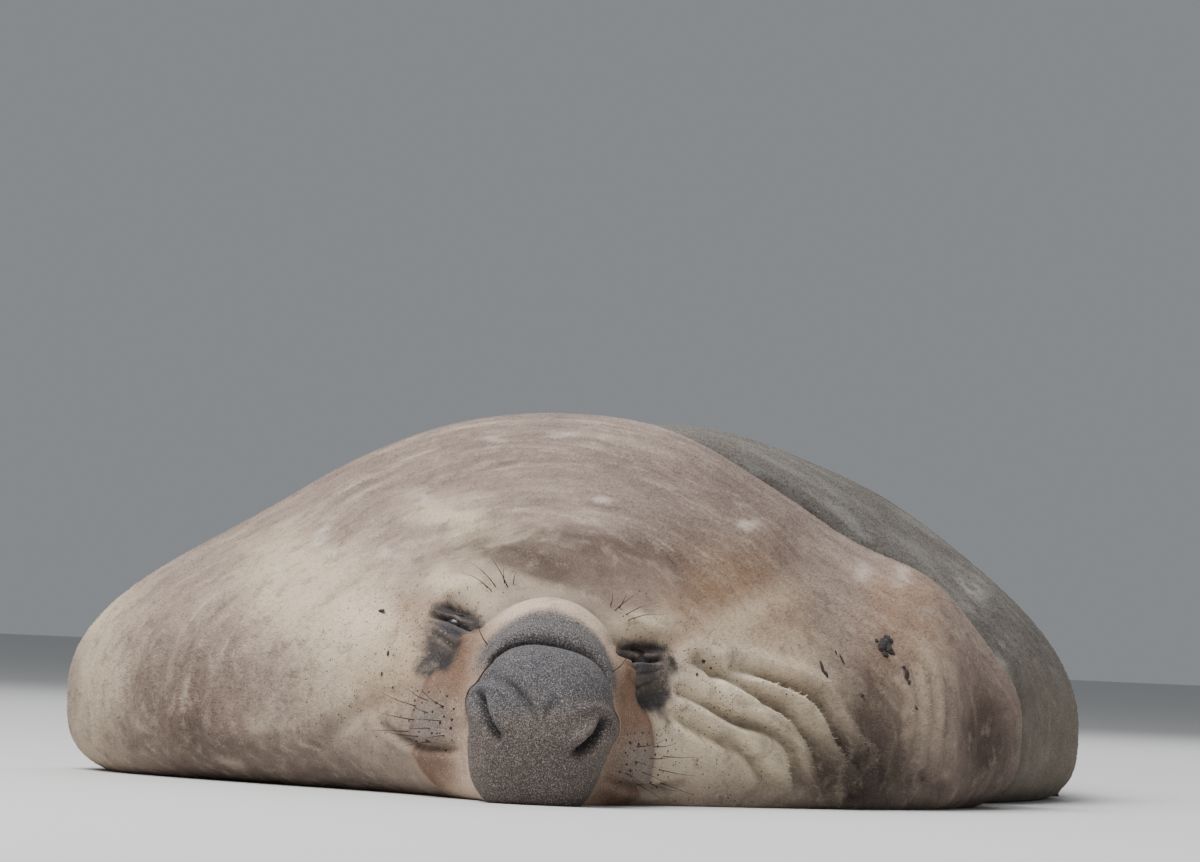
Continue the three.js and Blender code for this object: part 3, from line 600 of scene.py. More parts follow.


class Markings:
    """The colours and surface masks of the hide, for any place on the body."""

    def __init__(self, form: BodyForm) -> None:
        """Keep the form and draw the noises that break up the edges.

        Args:
            form: the body's shape.
        """
        self.form = form
        self.blotch = LatticeNoise(3)
        self.fleck = LatticeNoise(8)

    def views(self, station: np.ndarray, angle: np.ndarray) -> dict[str, np.ndarray]:
        """Return points' places seen from the front, calm or ragged, upright or leaning with the head."""
        point = self.form.plain(station, angle)
        wobble = 14 * self.blotch(point, 90.0) + 7 * self.fleck(point, 34.0)
        x, z = point[:, 0] + wobble, point[:, 2] - NOSE_AXIS_HEIGHT + 0.7 * wobble
        head_x, head_z = leaned(x, z)
        calm_x, calm_z = leaned(point[:, 0], point[:, 2] - NOSE_AXIS_HEIGHT)
        return {
            "point": point, "back": point[:, 1], "x": x, "z": z,
            "head_x": head_x, "head_z": head_z, "calm_x": calm_x, "calm_z": calm_z,
        }

    def spot(self, view: dict[str, np.ndarray], patch: Patch) -> np.ndarray:
        """Return how strongly one patch shows at each place."""
        u = view["head_x" if patch.leaning else "x"] - patch.x
        v = view["head_z" if patch.leaning else "z"] - patch.z
        along = u * math.cos(patch.tilt) - v * math.sin(patch.tilt)
        above = u * math.sin(patch.tilt) + v * math.cos(patch.tilt)
        depth = window((view["back"] - patch.back) / patch.deep)
        spread = window(np.hypot(along / patch.wide, above / patch.high))
        return np.clip(1.35 * spread * depth, 0, 1) * patch.strength

    def stain(self, view: dict[str, np.ndarray]) -> np.ndarray:
        """Return the dark wet marks round and below the eyes."""
        u, v, point, back = view["calm_x"], view["calm_z"], view["point"], view["back"]
        mask = np.zeros_like(u)
        for x, z, wide, high, tilt, strength in STAINS:
            along = (u - x) * math.cos(tilt) - (v - z) * math.sin(tilt)
            above = (u - x) * math.sin(tilt) + (v - z) * math.cos(tilt)
            mask = np.maximum(mask, strength * window(np.hypot(along / wide, above / high) ** 1.6))
        ragged = mask + 0.14 * self.fleck(point, 8.0) + 0.1 * self.blotch(point, 19.0)
        return smoothstep(0.2, 0.85, ragged) * smoothstep(185, 225, back) * (1 - smoothstep(400, 470, back))

    def by_eyes(
        self, view: dict[str, np.ndarray], aside: tuple[float, float], middle: float, wide: float, high: float
    ) -> np.ndarray:
        """Return a soft spot round each eye.

        Args:
            view: the places.
            aside: the x of each spot.
            middle: the z of both.
            wide: their half width.
            high: their half height.
        """
        v = (view["calm_z"] - middle) / high
        return sum(window(np.hypot((view["calm_x"] - x) / wide, v)) for x in aside)

    def zones(self, view: dict[str, np.ndarray], angle: np.ndarray) -> dict[str, np.ndarray]:
        """Return the masks of the parts of the body that have a colour or a surface of their own."""
        point, back, head_x, high = view["point"], view["back"], view["head_x"], view["calm_z"]
        edge = smoothstep(1150, 1260, back)
        blend = smoothstep(900, 1700, back + 260 * self.blotch(point, 260.0) + 90 * self.fleck(point, 80.0))
        snout = 1 - smoothstep(238, 262, back)
        front = 1 - smoothstep(120, 132, back)
        face = smoothstep(225, 260, back) * (1 - smoothstep(400, 470, back))
        beside = window((np.abs(view["calm_x"] + 4) - 156) / 46) * window((high + 30) / 44)
        return {
            "trunk": blend + (edge - blend) * smoothstep(-0.3, 0.5, np.sin(angle)),
            "snout": snout,
            "front": front,
            "face": face,
            "lobe": (1 - smoothstep(146, 174, back + 0.5 * (view["x"] - point[:, 0]))) * smoothstep(40, 90, high),
            "legs": snout * smoothstep(70, 140, np.abs(head_x + 8)) * (1 - smoothstep(120, 190, high)),
            "pads": beside * snout * (1 - front),
            "lids": self.by_eyes(view, (-162, 136), 114, 42, 23),
            "eyes": self.by_eyes(view, (-170, 160), 100, 92, 84) * face,
            "cheeks": face * smoothstep(150, 230, np.abs(head_x)) * (1 - smoothstep(120, 260, view["head_z"])),
            "top": smoothstep(0.35, 0.8, np.cos(angle)),
        }

    def paint(self, station: np.ndarray, angle: np.ndarray, limb: np.ndarray) -> dict[str, np.ndarray]:
        """Return the base colour and the masks of the hide.

        Args:
            station: where along the body.
            angle: where round it.
            limb: how far along a limb, from 0 on the body to 1.

        Returns:
            "tone" as rows of red, green and blue, and each of MASKS as numbers from 0 to 1.
        """
        view = self.views(station, angle)
        zone = self.zones(view, angle)
        wet = self.stain(view)
        tone = self.tone(view, zone, wet, station, angle, limb)
        trunk, right = zone["trunk"], smoothstep(120, 420, view["point"][:, 0])
        clusters = 0.35 + 0.65 * smoothstep(-0.1, 0.5, self.fleck(view["point"] + 500, 30.0))
        specks = 1.4 * zone["eyes"] + 0.5 * zone["cheeks"] + 0.4 * trunk * zone["top"] + 0.3 * zone["pads"]
        return {
            "tone": np.clip(tone, 0, 1),
            "sand": np.clip(zone["front"] + zone["lobe"] + 0.3 * zone["snout"], 0, 1),
            "specks": np.clip(specks * clusters, 0, 1),
            "wet": wet,
            "streak": smoothstep(300, 420, view["back"]) * (1 - 0.8 * trunk) * (1 - 0.5 * right),
            "dust": np.clip(trunk * (0.3 + 0.25 * zone["top"]), 0, 1),
            "crease": np.clip(0.25 + 0.6 * zone["snout"] + zone["lids"] + zone["cheeks"], 0, 1),
        }

    def tone(
        self, view: dict[str, np.ndarray], zone: dict[str, np.ndarray], wet: np.ndarray, station: np.ndarray,
        angle: np.ndarray, limb: np.ndarray,
    ) -> np.ndarray:
        """Return the base colour of each place, laid on from the broad patches to the small marks, with painted
        shade in the folds and creases, the eye slits and nostrils, a hollow on the hood's side, behind the neck's
        fold and near the floor.

        Args:
            view: the places seen from the front.
            zone: the masks of the parts of the body.
            wet: the mask of the dark marks at the eyes.
            station: where along the body.
            angle: where round it.
            limb: how far along a limb, from 0 on the body to 1.
        """
        point, back, trunk, snout = view["point"], view["back"], zone["trunk"], zone["snout"]
        tone = np.tile(TAUPE, (len(station), 1))

        def lay(colour: tuple[float, float, float], mask: np.ndarray) -> None:
            """Lay a colour over the tone where the mask is."""
            tone[:] = tone + (np.array(colour) - tone) * np.clip(mask, 0, 1)[:, None]

        def shade(mask: np.ndarray) -> None:
            """Darken the tone by the mask, for painted shade; a negative mask lightens, for the random blotches.
            """
            tone[:] = tone * (1 - mask)[:, None]

        lay(BACK_GREY, trunk)
        lay(BELLY_TAN, trunk * (1 - smoothstep(60, 330, view["z"] + NOSE_AXIS_HEIGHT)) * 0.7)
        for patch in PATCHES:
            lay(patch.tone, self.spot(view, patch) * (1 - trunk))
        # Painted shadow just behind the fold where the neck's roll lies over the shoulders, heavier towards +X.
        behind = window((station - ring_at("neck_fold") - 0.25) / 0.6)
        shade(0.75 * behind * (0.35 + 0.65 * np.clip(np.sin(angle), 0, 1)))
        broken = smoothstep(-0.5, 0.35, self.fleck(point, (26.0, 26.0, 9.0)))
        for patch in SCUFFS:
            lay(patch.tone, self.spot(view, patch) * broken)
        lay(TAN, snout)
        lay(ROSE_BROWN, zone["legs"])
        lay(SLATE, np.maximum(zone["front"], zone["lobe"] * 0.95))
        lay(WARM_SLATE, zone["front"] * (1 - smoothstep(-10, 60, view["head_z"] - 0.3 * view["head_x"])) * 0.9)
        lay(PAD_GREY, zone["pads"])
        lay(LID, zone["lids"] * zone["face"] * 0.95)
        lay(WET_STAIN_AND_SHADE, wet * (1 - 0.7 * np.clip(zone["lids"], 0, 1)))
        lay(LIMB, smoothstep(0.0, 0.7, limb))
        # Painted shade in the folds, darker the deeper the fold.
        shade(0.5 * np.clip(self.form.crease_depth(point) / 16, 0, 1))
        # Painted shade in the small creases of the jowl.
        shade(0.3 * self.form.crinkle(point[:, 0], back, point[:, 2] - NOSE_AXIS_HEIGHT))
        # Painted shade in the two folds that ring the nose.
        shade(0.35 * np.clip(-self.form.nose_folds(station, angle) / 18, 0, 1))
        # Painted shade and damp dirt low down near the floor, from behind the nose to the neck's fold, sparing
        # the far left of the neck.
        floor = (1 - smoothstep(-118, 30, view["z"])) * smoothstep(-640, -520, point[:, 0])
        shade(0.38 * floor * smoothstep(260, 420, back) * (1 - smoothstep(1000, 1200, back)))
        # Painted shade: the slits of the closed eyes and the openings of the nostrils are laid near black.
        nostrils = [fold for fold in self.form.folds if fold.deep > NOSTRIL_DEPTH and fold.zone is Zone.NOSE]
        for slit in self.form.folds[:2] + nostrils:
            slit_shade = self.form.groove(slit, view["calm_x"], view["calm_z"]) * self.form.reach(slit, back)
            lay(WET_STAIN_AND_SHADE, 1.5 * slit_shade / slit.deep)
        blotch = self.blotch(point, (150.0, 210.0, 90.0)) + 0.6 * self.fleck(point, (60.0, 90.0, 40.0))
        shade(-0.12 * blotch)
        return tone


# Mesh helpers


def new_object(name: str, bm: bmesh.types.BMesh, smooth: bool = True) -> bpy.types.Object:
    """Make an object of a finished bmesh and link it to the scene.

    Args:
        name: the object's name.
        bm: its mesh in metres, which is freed.
        smooth: whether its faces shade smoothly.
    """
    mesh = bpy.data.meshes.new(name)
    bm.to_mesh(mesh)
    bm.free()
    if smooth:
        mesh.polygons.foreach_set("use_smooth", np.ones(len(mesh.polygons), bool))
    made = bpy.data.objects.new(name, mesh)
    bpy.context.scene.collection.objects.link(made)
    return made


def mesh_points(mesh: bpy.types.Mesh) -> np.ndarray:
    """Return the places of a mesh's vertices, in metres."""
    points = np.empty(len(mesh.vertices) * 3, np.float32)
    mesh.vertices.foreach_get("co", points)
    return points.reshape(-1, 3).astype(float)


def copies(unit: bmesh.types.BMesh, count: int) -> tuple[bmesh.types.BMesh, np.ndarray]:
    """Put many copies of a small mesh in one, and free the small one.

    Returns:
        The joined mesh, and the unit's points as rows of three.
    """
    mesh = bpy.data.meshes.new("unit")
    unit.to_mesh(mesh)
    unit.free()
    points = mesh_points(mesh)
    bm = bmesh.new()
    for _ in range(count):
        bm.from_mesh(mesh)
    bpy.data.meshes.remove(mesh)
    return bm, points


def put(bm: bmesh.types.BMesh, points: np.ndarray) -> None:
    """Move a mesh's vertices to the given places, in order."""
    for vertex, point in zip(bm.verts, points.reshape(-1, 3)):
        vertex.co = point


def relax(bm: bmesh.types.BMesh, verts: list[bmesh.types.BMVert], passes: int = 1) -> None:
    """Smooth some of a mesh's vertices."""
    for _ in range(passes):
        bmesh.ops.smooth_vert(bm, verts=verts, factor=0.5, use_axis_x=True, use_axis_y=True, use_axis_z=True)


def long_cone(segments: int, tip: float, cuts: int) -> bmesh.types.BMesh:
    """Make a unit cone cut across, so that it can be bent.

    Args:
        segments: how many sides it has.
        tip: the radius of its upper end.
        cuts: how many times it is cut across.
    """
    bm = bmesh.new()
    bmesh.ops.create_cone(bm, cap_ends=True, segments=segments, radius1=1, radius2=tip, depth=1)
    sides = [e for e in bm.edges if abs(e.verts[0].co.z - e.verts[1].co.z) > 0.5]
    bmesh.ops.subdivide_edges(bm, edges=sides, cuts=cuts)
    return bm


def dress_hide(
    piece: bpy.types.Object, form: BodyForm, station: np.ndarray, angle: np.ndarray, limb: np.ndarray,
    along: np.ndarray, each: int = 1,
) -> None:
    """Write the hide's colours, masks and lie onto a piece, and give it the hide's material.

    Args:
        piece: the object, in metres.
        form: the body's shape.
        station: where along the body each vertex is.
        angle: where round it.
        limb: the number of the limb that it is on, or 0.
        along: how far along the limb it is.
        each: how many vertices in turn share each place.
    """
    mesh = piece.data
    for name, values in Markings(form).paint(station, angle, np.clip(limb, 0, 1) * along).items():
        values = np.repeat(values, each, axis=0)
        if values.ndim == 2:
            layer = mesh.attributes.new(name, "FLOAT_COLOR", "POINT")
            layer.data.foreach_set("color", np.column_stack((values, np.ones(len(values)))).ravel())
        else:
            mesh.attributes.new(name, "FLOAT", "POINT").data.foreach_set("value", values)
    loops = np.empty(len(mesh.loops), np.int32)
    mesh.loops.foreach_get("vertex_index", loops)
    behind = form.curves["back"](np.maximum(station, 0)) * MM + np.minimum(station, 0) * 0.1
    lie = np.stack((turned(angle) * 0.5, behind), -1)
    mesh.uv_layers.new(name="lie").data.foreach_set("uv", np.repeat(lie, each, axis=0)[loops].ravel())
    mesh.materials.clear()
    mesh.materials.append(Hide().material())


# Finishes


class Nodes:
    """A node tree being filled, with short ways to add and join nodes."""

    def __init__(self, tree: bpy.types.NodeTree) -> None:
        """Keep the tree."""
        self.tree = tree

    def add(self, kind: str, **settings: object) -> bpy.types.Node:
        """Add a node of a kind and set its properties, or its sockets where a name starts with a capital.

        Args:
            kind: the node's type without its ShaderNode prefix.
            settings: property names, or socket names with _ for a space, with a value or a socket to join.
        """
        node = self.tree.nodes.new("ShaderNode" + kind)
        for key, value in settings.items():
            if key[0].islower():
                setattr(node, key, value)
        for key, value in settings.items():
            if not key[0].islower():
                self.feed(node.inputs[key.replace("_", " ")], value)
        return node

    def feed(self, socket: bpy.types.NodeSocket, value: object) -> None:
        """Join a socket to another, or set its value."""
        if isinstance(value, bpy.types.NodeSocket):
            self.tree.links.new(value, socket)
        else:
            socket.default_value = value

    def math(self, operation: str, *values: object, clamp: bool = False) -> bpy.types.NodeSocket:
        """Return the result of a math node."""
        node = self.tree.nodes.new("ShaderNodeMath")
        node.operation = operation
        node.use_clamp = clamp
        for socket, value in zip(node.inputs, values):
            self.feed(socket, value)
        return node.outputs[0]

    def times(self, first: object, second: object) -> bpy.types.NodeSocket:
        """Return a product."""
        return self.math("MULTIPLY", first, second)

    def plus(self, first: object, second: object) -> bpy.types.NodeSocket:
        """Return a sum."""
        return self.math("ADD", first, second)

    def mix(self, factor: object, first: object, second: object) -> bpy.types.NodeSocket:
        """Return a mix of two colours."""
        node = self.tree.nodes.new("ShaderNodeMix")
        node.data_type = "RGBA"
        for name, value in (("Factor_Float", factor), ("A_Color", first), ("B_Color", second)):
            self.feed(next(socket for socket in node.inputs if socket.identifier == name), value)
        return next(socket for socket in node.outputs if socket.identifier == "Result_Color")

    def ramp(self, value: object, low: float, high: float) -> bpy.types.NodeSocket:
        """Return 0 at low, 1 at high and a smooth rise between them."""
        node = self.add("MapRange", interpolation_type="SMOOTHSTEP", Value=value, From_Min=low, From_Max=high)
        return node.outputs["Result"]

    def noise(
        self, place: object, scale: float, detail: float, roughness: float = 0.5
    ) -> bpy.types.NodeSocket:
        """Return the value of a noise."""
        node = self.add("TexNoise", Vector=place, Scale=scale, Detail=detail, Roughness=roughness)
        return node.outputs["Fac"]

    def effect(self, name: str, **inputs: object) -> bpy.types.NodeOutputs:
        """Add one of the effects, and return its outputs."""
        return self.add("Group", node_tree=Effects.get(name), **inputs).outputs

    def shift(self, place: object, bend: object, amount: float) -> bpy.types.NodeSocket:
        """Return places moved by a colour scaled by an amount."""
        scaled = self.add("VectorMath", operation="SCALE", Scale=amount)
        self.feed(scaled.inputs[0], bend)
        moved = self.add("VectorMath", operation="ADD")
        self.feed(moved.inputs[0], place)
        self.feed(moved.inputs[1], scaled.outputs[0])
        return moved.outputs[0]

    def bump(self, shader: bpy.types.Node, height: object, strength: float) -> None:
        """Give a shader a bumpy surface whose height is in metres."""
        node = self.add("Bump", Height=height, Strength=strength, Distance=1.0)
        self.feed(shader.inputs["Normal"], node.outputs["Normal"])


def node_group(
    name: str, inputs: dict[str, str], outputs: dict[str, str]
) -> tuple[bpy.types.NodeTree, Nodes, dict[str, object]]:
    """Make an empty shader node group.

    Args:
        name: the group's name.
        inputs: input names and their socket kinds, without the NodeSocket prefix.
        outputs: the same for outputs.

    Returns:
        The group, a filler for it, and its input sockets by name, with "out" as its output node's sockets.
    """
    tree = bpy.data.node_groups.new(name, "ShaderNodeTree")
    for in_out, sockets in (("INPUT", inputs), ("OUTPUT", outputs)):
        for label, kind in sockets.items():
            tree.interface.new_socket(name=label, in_out=in_out, socket_type="NodeSocket" + kind)
    entry = tree.nodes.new("NodeGroupInput")
    ends = {label: entry.outputs[label] for label in inputs}
    ends["out"] = tree.nodes.new("NodeGroupOutput").inputs
    return tree, Nodes(tree), ends


class Effects:
    """The shader node groups that the finishes use, each made once."""

    made: dict[str, bpy.types.NodeTree] = {}

    @classmethod
    def get(cls, name: str) -> bpy.types.NodeTree:
        """Return a group by name, making it the first time."""
        if name not in cls.made:
            cls.made[name] = getattr(cls, name)()
        return cls.made[name]

    @staticmethod
    def grains() -> bpy.types.NodeTree:
        """Make scattered grains of sand: where they lie and how light each one is."""
        inputs = {"Vector": "Vector", "Size": "Float", "Cover": "Float"}
        tree, nodes, ends = node_group("grains", inputs, {"Mask": "Float", "Light": "Float"})
        cells = nodes.add("TexVoronoi", Vector=ends["Vector"], Scale=nodes.math("DIVIDE", 1.0, ends["Size"]))
        pick = nodes.add("SeparateColor", Color=cells.outputs["Color"])
        chosen = nodes.math("LESS_THAN", pick.outputs[0], ends["Cover"])
        radius = nodes.math("MULTIPLY_ADD", pick.outputs[1], 0.25, 0.22)
        edge = nodes.math("SUBTRACT", radius, cells.outputs["Distance"])
        inside = nodes.math("MULTIPLY", edge, 9.0, clamp=True)
        nodes.feed(ends["out"]["Mask"], nodes.times(inside, chosen))
        nodes.feed(ends["out"]["Light"], pick.outputs[2])
        return tree

    @staticmethod
    def fur() -> bpy.types.NodeTree:
        """Make the fine fibres of flat short fur along the body's lie."""
        tree, nodes, ends = node_group("fur", {"Lie": "Vector"}, {"Value": "Float"})
        stretch = nodes.add("Mapping", Vector=ends["Lie"], Scale=(700, 130, 1))
        nodes.feed(ends["out"]["Value"], nodes.noise(stretch.outputs[0], 1.0, 2.0))
        return tree

    @staticmethod
    def streaks() -> bpy.types.NodeTree:
        """Make long pale and dark streaks that run round the body."""
        tree, nodes, ends = node_group("streaks", {"Lie": "Vector"}, {"Broad": "Float", "Fine": "Float"})
        bend = nodes.add("TexNoise", Vector=ends["Lie"], Scale=3.0, Detail=2.0)
        moved = nodes.shift(ends["Lie"], bend.outputs["Color"], 0.09)
        for label, scale, detail in (("Broad", (5, 16, 1), 4.0), ("Fine", (11, 62, 1), 5.0)):
            stretch = nodes.add("Mapping", Vector=moved, Scale=scale)
            nodes.feed(ends["out"][label], nodes.noise(stretch.outputs[0], 1.0, detail, 0.6))
        return tree

    @staticmethod
    def wrinkles() -> bpy.types.NodeTree:
        """Make the net of fine creases in bare skin, as a height."""
        inputs = {"Vector": "Vector", "Scale": "Float"}
        tree, nodes, ends = node_group("wrinkles", inputs, {"Height": "Float"})
        bend = nodes.add("TexNoise", Vector=ends["Vector"], Scale=nodes.times(ends["Scale"], 0.4), Detail=2.0)
        moved = nodes.shift(ends["Vector"], bend.outputs["Color"], 0.012)
        net = nodes.add("TexVoronoi", feature="DISTANCE_TO_EDGE", Vector=moved, Scale=ends["Scale"])
        nodes.feed(ends["out"]["Height"], nodes.ramp(net.outputs["Distance"], 0.0, 0.16))
        return tree


class Finish:
    """A material that is made once and shared by every piece that has it."""

    label = ""

    def material(self) -> bpy.types.Material:
        """Return the material, making it the first time."""
        made = bpy.data.materials.get(self.label)
        if made is None:
            made = bpy.data.materials.new(self.label)
            made.use_nodes = True
            self.fill(Nodes(made.node_tree), made.node_tree.nodes["Principled BSDF"])
        return made

    def fill(self, nodes: Nodes, shader: bpy.types.Node) -> None:
        """Join the finish's nodes to its shader.

        Args:
            nodes: the material's node tree.
            shader: its Principled BSDF.
        """
        raise NotImplementedError


@dataclass(frozen=True)
class Hide(Finish):
    """The dry hide with its flat short fur, sand and streaks, which reads the piece's own attributes."""

    label = "dusty hide"
    roughness: float = 0.82
    wet_roughness: float = 0.58
    specular: float = 0.32
    pale: tuple[float, float, float] = srgb(214, 196, 172)
    dark: tuple[float, float, float] = srgb(84, 70, 62)
    light_grain: tuple[float, float, float] = srgb(178, 170, 162)
    dark_grain: tuple[float, float, float] = srgb(46, 46, 50)
    dust: tuple[float, float, float] = srgb(128, 126, 120)

    def fill(self, nodes: Nodes, shader: bpy.types.Node) -> None:
        """Lay streaks, mottling, grit, dust and grains over the painted tone, and raise fur and creases."""
        place = nodes.add("TexCoord").outputs["Object"]
        lie = nodes.add("UVMap", uv_map="lie").outputs["UV"]
        mask = {name: nodes.add("Attribute", attribute_name=name).outputs["Fac"] for name in MASKS}
        sand, dust = mask["sand"], mask["dust"]
        fur = nodes.effect("fur", Lie=lie)["Value"]
        mottle = nodes.noise(place, 30.0, 6.0, 0.62)
        grit = nodes.noise(place, 480.0, 3.0, 0.7)
        film = nodes.noise(place, 9.0, 6.0, 0.65)
        bare = nodes.math("MAXIMUM", sand, nodes.times(dust, 1.8))
        mottled = nodes.math("MULTIPLY_ADD", bare, -0.26, 0.32)
        gritty = nodes.math("MULTIPLY_ADD", sand, 0.6, 0.22)
        colour = self.streaked(nodes, lie, mask["streak"])
        colour = nodes.mix(nodes.ramp(fur, 0.62, 0.3), colour, nodes.mix(0.22, colour, (*self.dark, 1)))
        for field_, low, high, amount, tone in (
            (mottle, 0.52, 0.7, nodes.times(mottled, 0.6), self.pale),
            (mottle, 0.48, 0.34, mottled, self.dark),
            (grit, 0.53, 0.42, gritty, self.dark_grain),
            (grit, 0.55, 0.68, gritty, self.light_grain),
            (film, 0.42, 0.68, dust, self.dust),
        ):
            colour = nodes.mix(nodes.times(nodes.ramp(field_, low, high), amount), colour, (*tone, 1))
        raised = []
        for size, cover, amount, low, high in (
            (0.0022, nodes.times(sand, 0.14), 0.5, 0.75, 0.85),
            (0.0034, nodes.times(mask["specks"], 0.42), 0.9, 0.9, 0.95),
        ):
            grains = nodes.effect("grains", Vector=place, Size=size, Cover=cover)
            light = nodes.ramp(grains["Light"], low, high)
            grain = nodes.mix(light, (*self.dark_grain, 1), (*self.light_grain, 1))
            colour = nodes.mix(nodes.times(grains["Mask"], amount), colour, grain)
            raised.append(grains["Mask"])
        nodes.feed(shader.inputs["Base Color"], colour)
        smoother = self.wet_roughness - self.roughness
        roughness = nodes.math("MULTIPLY_ADD", mask["wet"], smoother, self.roughness)
        nodes.feed(shader.inputs["Roughness"], roughness)
        shader.inputs["Specular IOR Level"].default_value = self.specular
        net = nodes.effect("wrinkles", Vector=place, Scale=95.0)["Height"]
        coarse = nodes.effect("wrinkles", Vector=place, Scale=28.0)["Height"]
        height = nodes.times(nodes.times(nodes.plus(nodes.times(net, 0.4), coarse), mask["crease"]), 0.0011)
        for field_, rise in (
            (fur, 0.0012), (nodes.plus(*raised), 0.0009), (film, 0.004),
            (grit, nodes.math("MULTIPLY_ADD", sand, 0.002, 0.0006)), (mottle, 0.003),
        ):
            height = nodes.plus(height, nodes.times(field_, rise))
        nodes.bump(shader, height, 0.7)

    def streaked(self, nodes: Nodes, lie: object, streak: object) -> bpy.types.NodeSocket:
        """Return the painted tone with broad and fine streaks.

        Args:
            nodes: the material's node tree.
            lie: places along the lie of the fur.
            streak: the mask of the streaks.
        """
        colour = nodes.add("Attribute", attribute_name="tone").outputs["Color"]
        streaks = nodes.effect("streaks", Lie=lie)
        for label, low, high, amount, tone in (
            ("Broad", 0.5, 0.78, 0.55, self.pale), ("Broad", 0.5, 0.24, 0.4, self.dark),
            ("Fine", 0.54, 0.74, 0.45, self.pale), ("Fine", 0.48, 0.3, 0.25, self.dark),
        ):
            strength = nodes.times(nodes.times(nodes.ramp(streaks[label], low, high), streak), amount)
            colour = nodes.mix(strength, colour, (*tone, 1))
        return colour


@dataclass(frozen=True)
class Horn(Finish):
    """Dark horn of nails and whiskers, with paler worn patches."""

    label = "dark horn"
    dark: tuple[float, float, float] = srgb(34, 29, 27)
    worn: tuple[float, float, float] = srgb(96, 84, 72)

    def fill(self, nodes: Nodes, shader: bpy.types.Node) -> None:
        """Mottle the horn and roughen its worn patches."""
        place = nodes.add("TexCoord").outputs["Object"]
        wear = nodes.noise(place, 160.0, 3.0)
        colour = nodes.mix(nodes.ramp(wear, 0.5, 0.8), (*self.dark, 1), (*self.worn, 1))
        nodes.feed(shader.inputs["Base Color"], colour)
        nodes.feed(shader.inputs["Roughness"], nodes.math("MULTIPLY_ADD", wear, 0.3, 0.3))
        nodes.bump(shader, nodes.times(wear, 0.0006), 0.6)


@dataclass(frozen=True)
class Crust(Finish):
    """Dried blood and dark sand, rough and nearly black."""

    label = "dark crust"
    dark: tuple[float, float, float] = srgb(36, 30, 30)
    brown: tuple[float, float, float] = srgb(78, 58, 48)
    pale: tuple[float, float, float] = srgb(140, 130, 120)
    roughness: float = 0.75

    def fill(self, nodes: Nodes, shader: bpy.types.Node) -> None:
        """Mottle the crust and strew it with a few pale grains."""
        place = nodes.add("TexCoord").outputs["Object"]
        patches = nodes.noise(place, 300.0, 3.0)
        colour = nodes.mix(nodes.ramp(patches, 0.5, 0.75), (*self.dark, 1), (*self.brown, 1))
        grains = nodes.effect("grains", Vector=place, Size=0.0016, Cover=0.2)["Mask"]
        colour = nodes.mix(nodes.times(grains, 0.7), colour, (*self.pale, 1))
        nodes.feed(shader.inputs["Base Color"], colour)
        shader.inputs["Roughness"].default_value = self.roughness
        nodes.bump(shader, nodes.times(nodes.plus(patches, grains), 0.0012), 0.8)


@dataclass(frozen=True)
class WetEye(Finish):
    """The dark wet eye that shows between the lids."""

    label = "wet eye"
    dark: tuple[float, float, float] = srgb(14, 12, 13)
    brown: tuple[float, float, float] = srgb(44, 32, 26)
    roughness: float = 0.3
    film: float = 0.5
    film_roughness: float = 0.15

    def fill(self, nodes: Nodes, shader: bpy.types.Node) -> None:
        """Cloud the dark eye with brown under a film of water."""
        place = nodes.add("TexCoord").outputs["Object"]
        clouds = nodes.ramp(nodes.noise(place, 90.0, 2.0), 0.45, 0.8)
        nodes.feed(shader.inputs["Base Color"], nodes.mix(clouds, (*self.dark, 1), (*self.brown, 1)))
        shader.inputs["Roughness"].default_value = self.roughness
        shader.inputs["Coat Weight"].default_value = self.film
        shader.inputs["Coat Roughness"].default_value = self.film_roughness


# The skin


def angle_of_share(share: np.ndarray) -> np.ndarray:
    """Return the angle of each share of a turn, with more points over the back and fewer below."""
    return 2 * math.pi * share - 0.5 * np.sin(2 * math.pi * share)


def turned(angle: np.ndarray) -> np.ndarray:
    """Return angles brought between half a turn either way."""
    return (angle + math.pi) % (2 * math.pi) - math.pi


# Places on the head with finer faces: x, z, half width, half height, and from how far to how far back.
FINE_PLACES = (
    (-162, 128, 56, 44, 200, 420),
    (134, 128, 52, 44, 200, 420),
    (-84, 6, 34, 46, 0, 140),
    (80, 6, 34, 46, 0, 140),
    (330, 66, 165, 92, 300, 640),
)
CLEAR_OF_FLOOR = 0.004  # metres above the floor from which the skin is smoothed and has fur
LIE_LAYERS = ("station", "turn", "limb", "along")  # what each vertex of the hide remembers of its place


def set_layers(bm: bmesh.types.BMesh, *values: np.ndarray) -> None:
    """Write where each vertex lies on the body into the mesh's own layers."""
    for name, numbers in zip(LIE_LAYERS, values):
        layer = bm.verts.layers.float.get(name) or bm.verts.layers.float.new(name)
        for vertex, number in zip(bm.verts, numbers):
            vertex[layer] = number


def layer_values(mesh: bpy.types.Mesh) -> list[np.ndarray]:
    """Return the values that set_layers wrote."""
    found = []
    for name in LIE_LAYERS:
        values = np.empty(len(mesh.vertices), np.float32)
        mesh.attributes[name].data.foreach_get("value", values)
        found.append(values.astype(float))
    return found


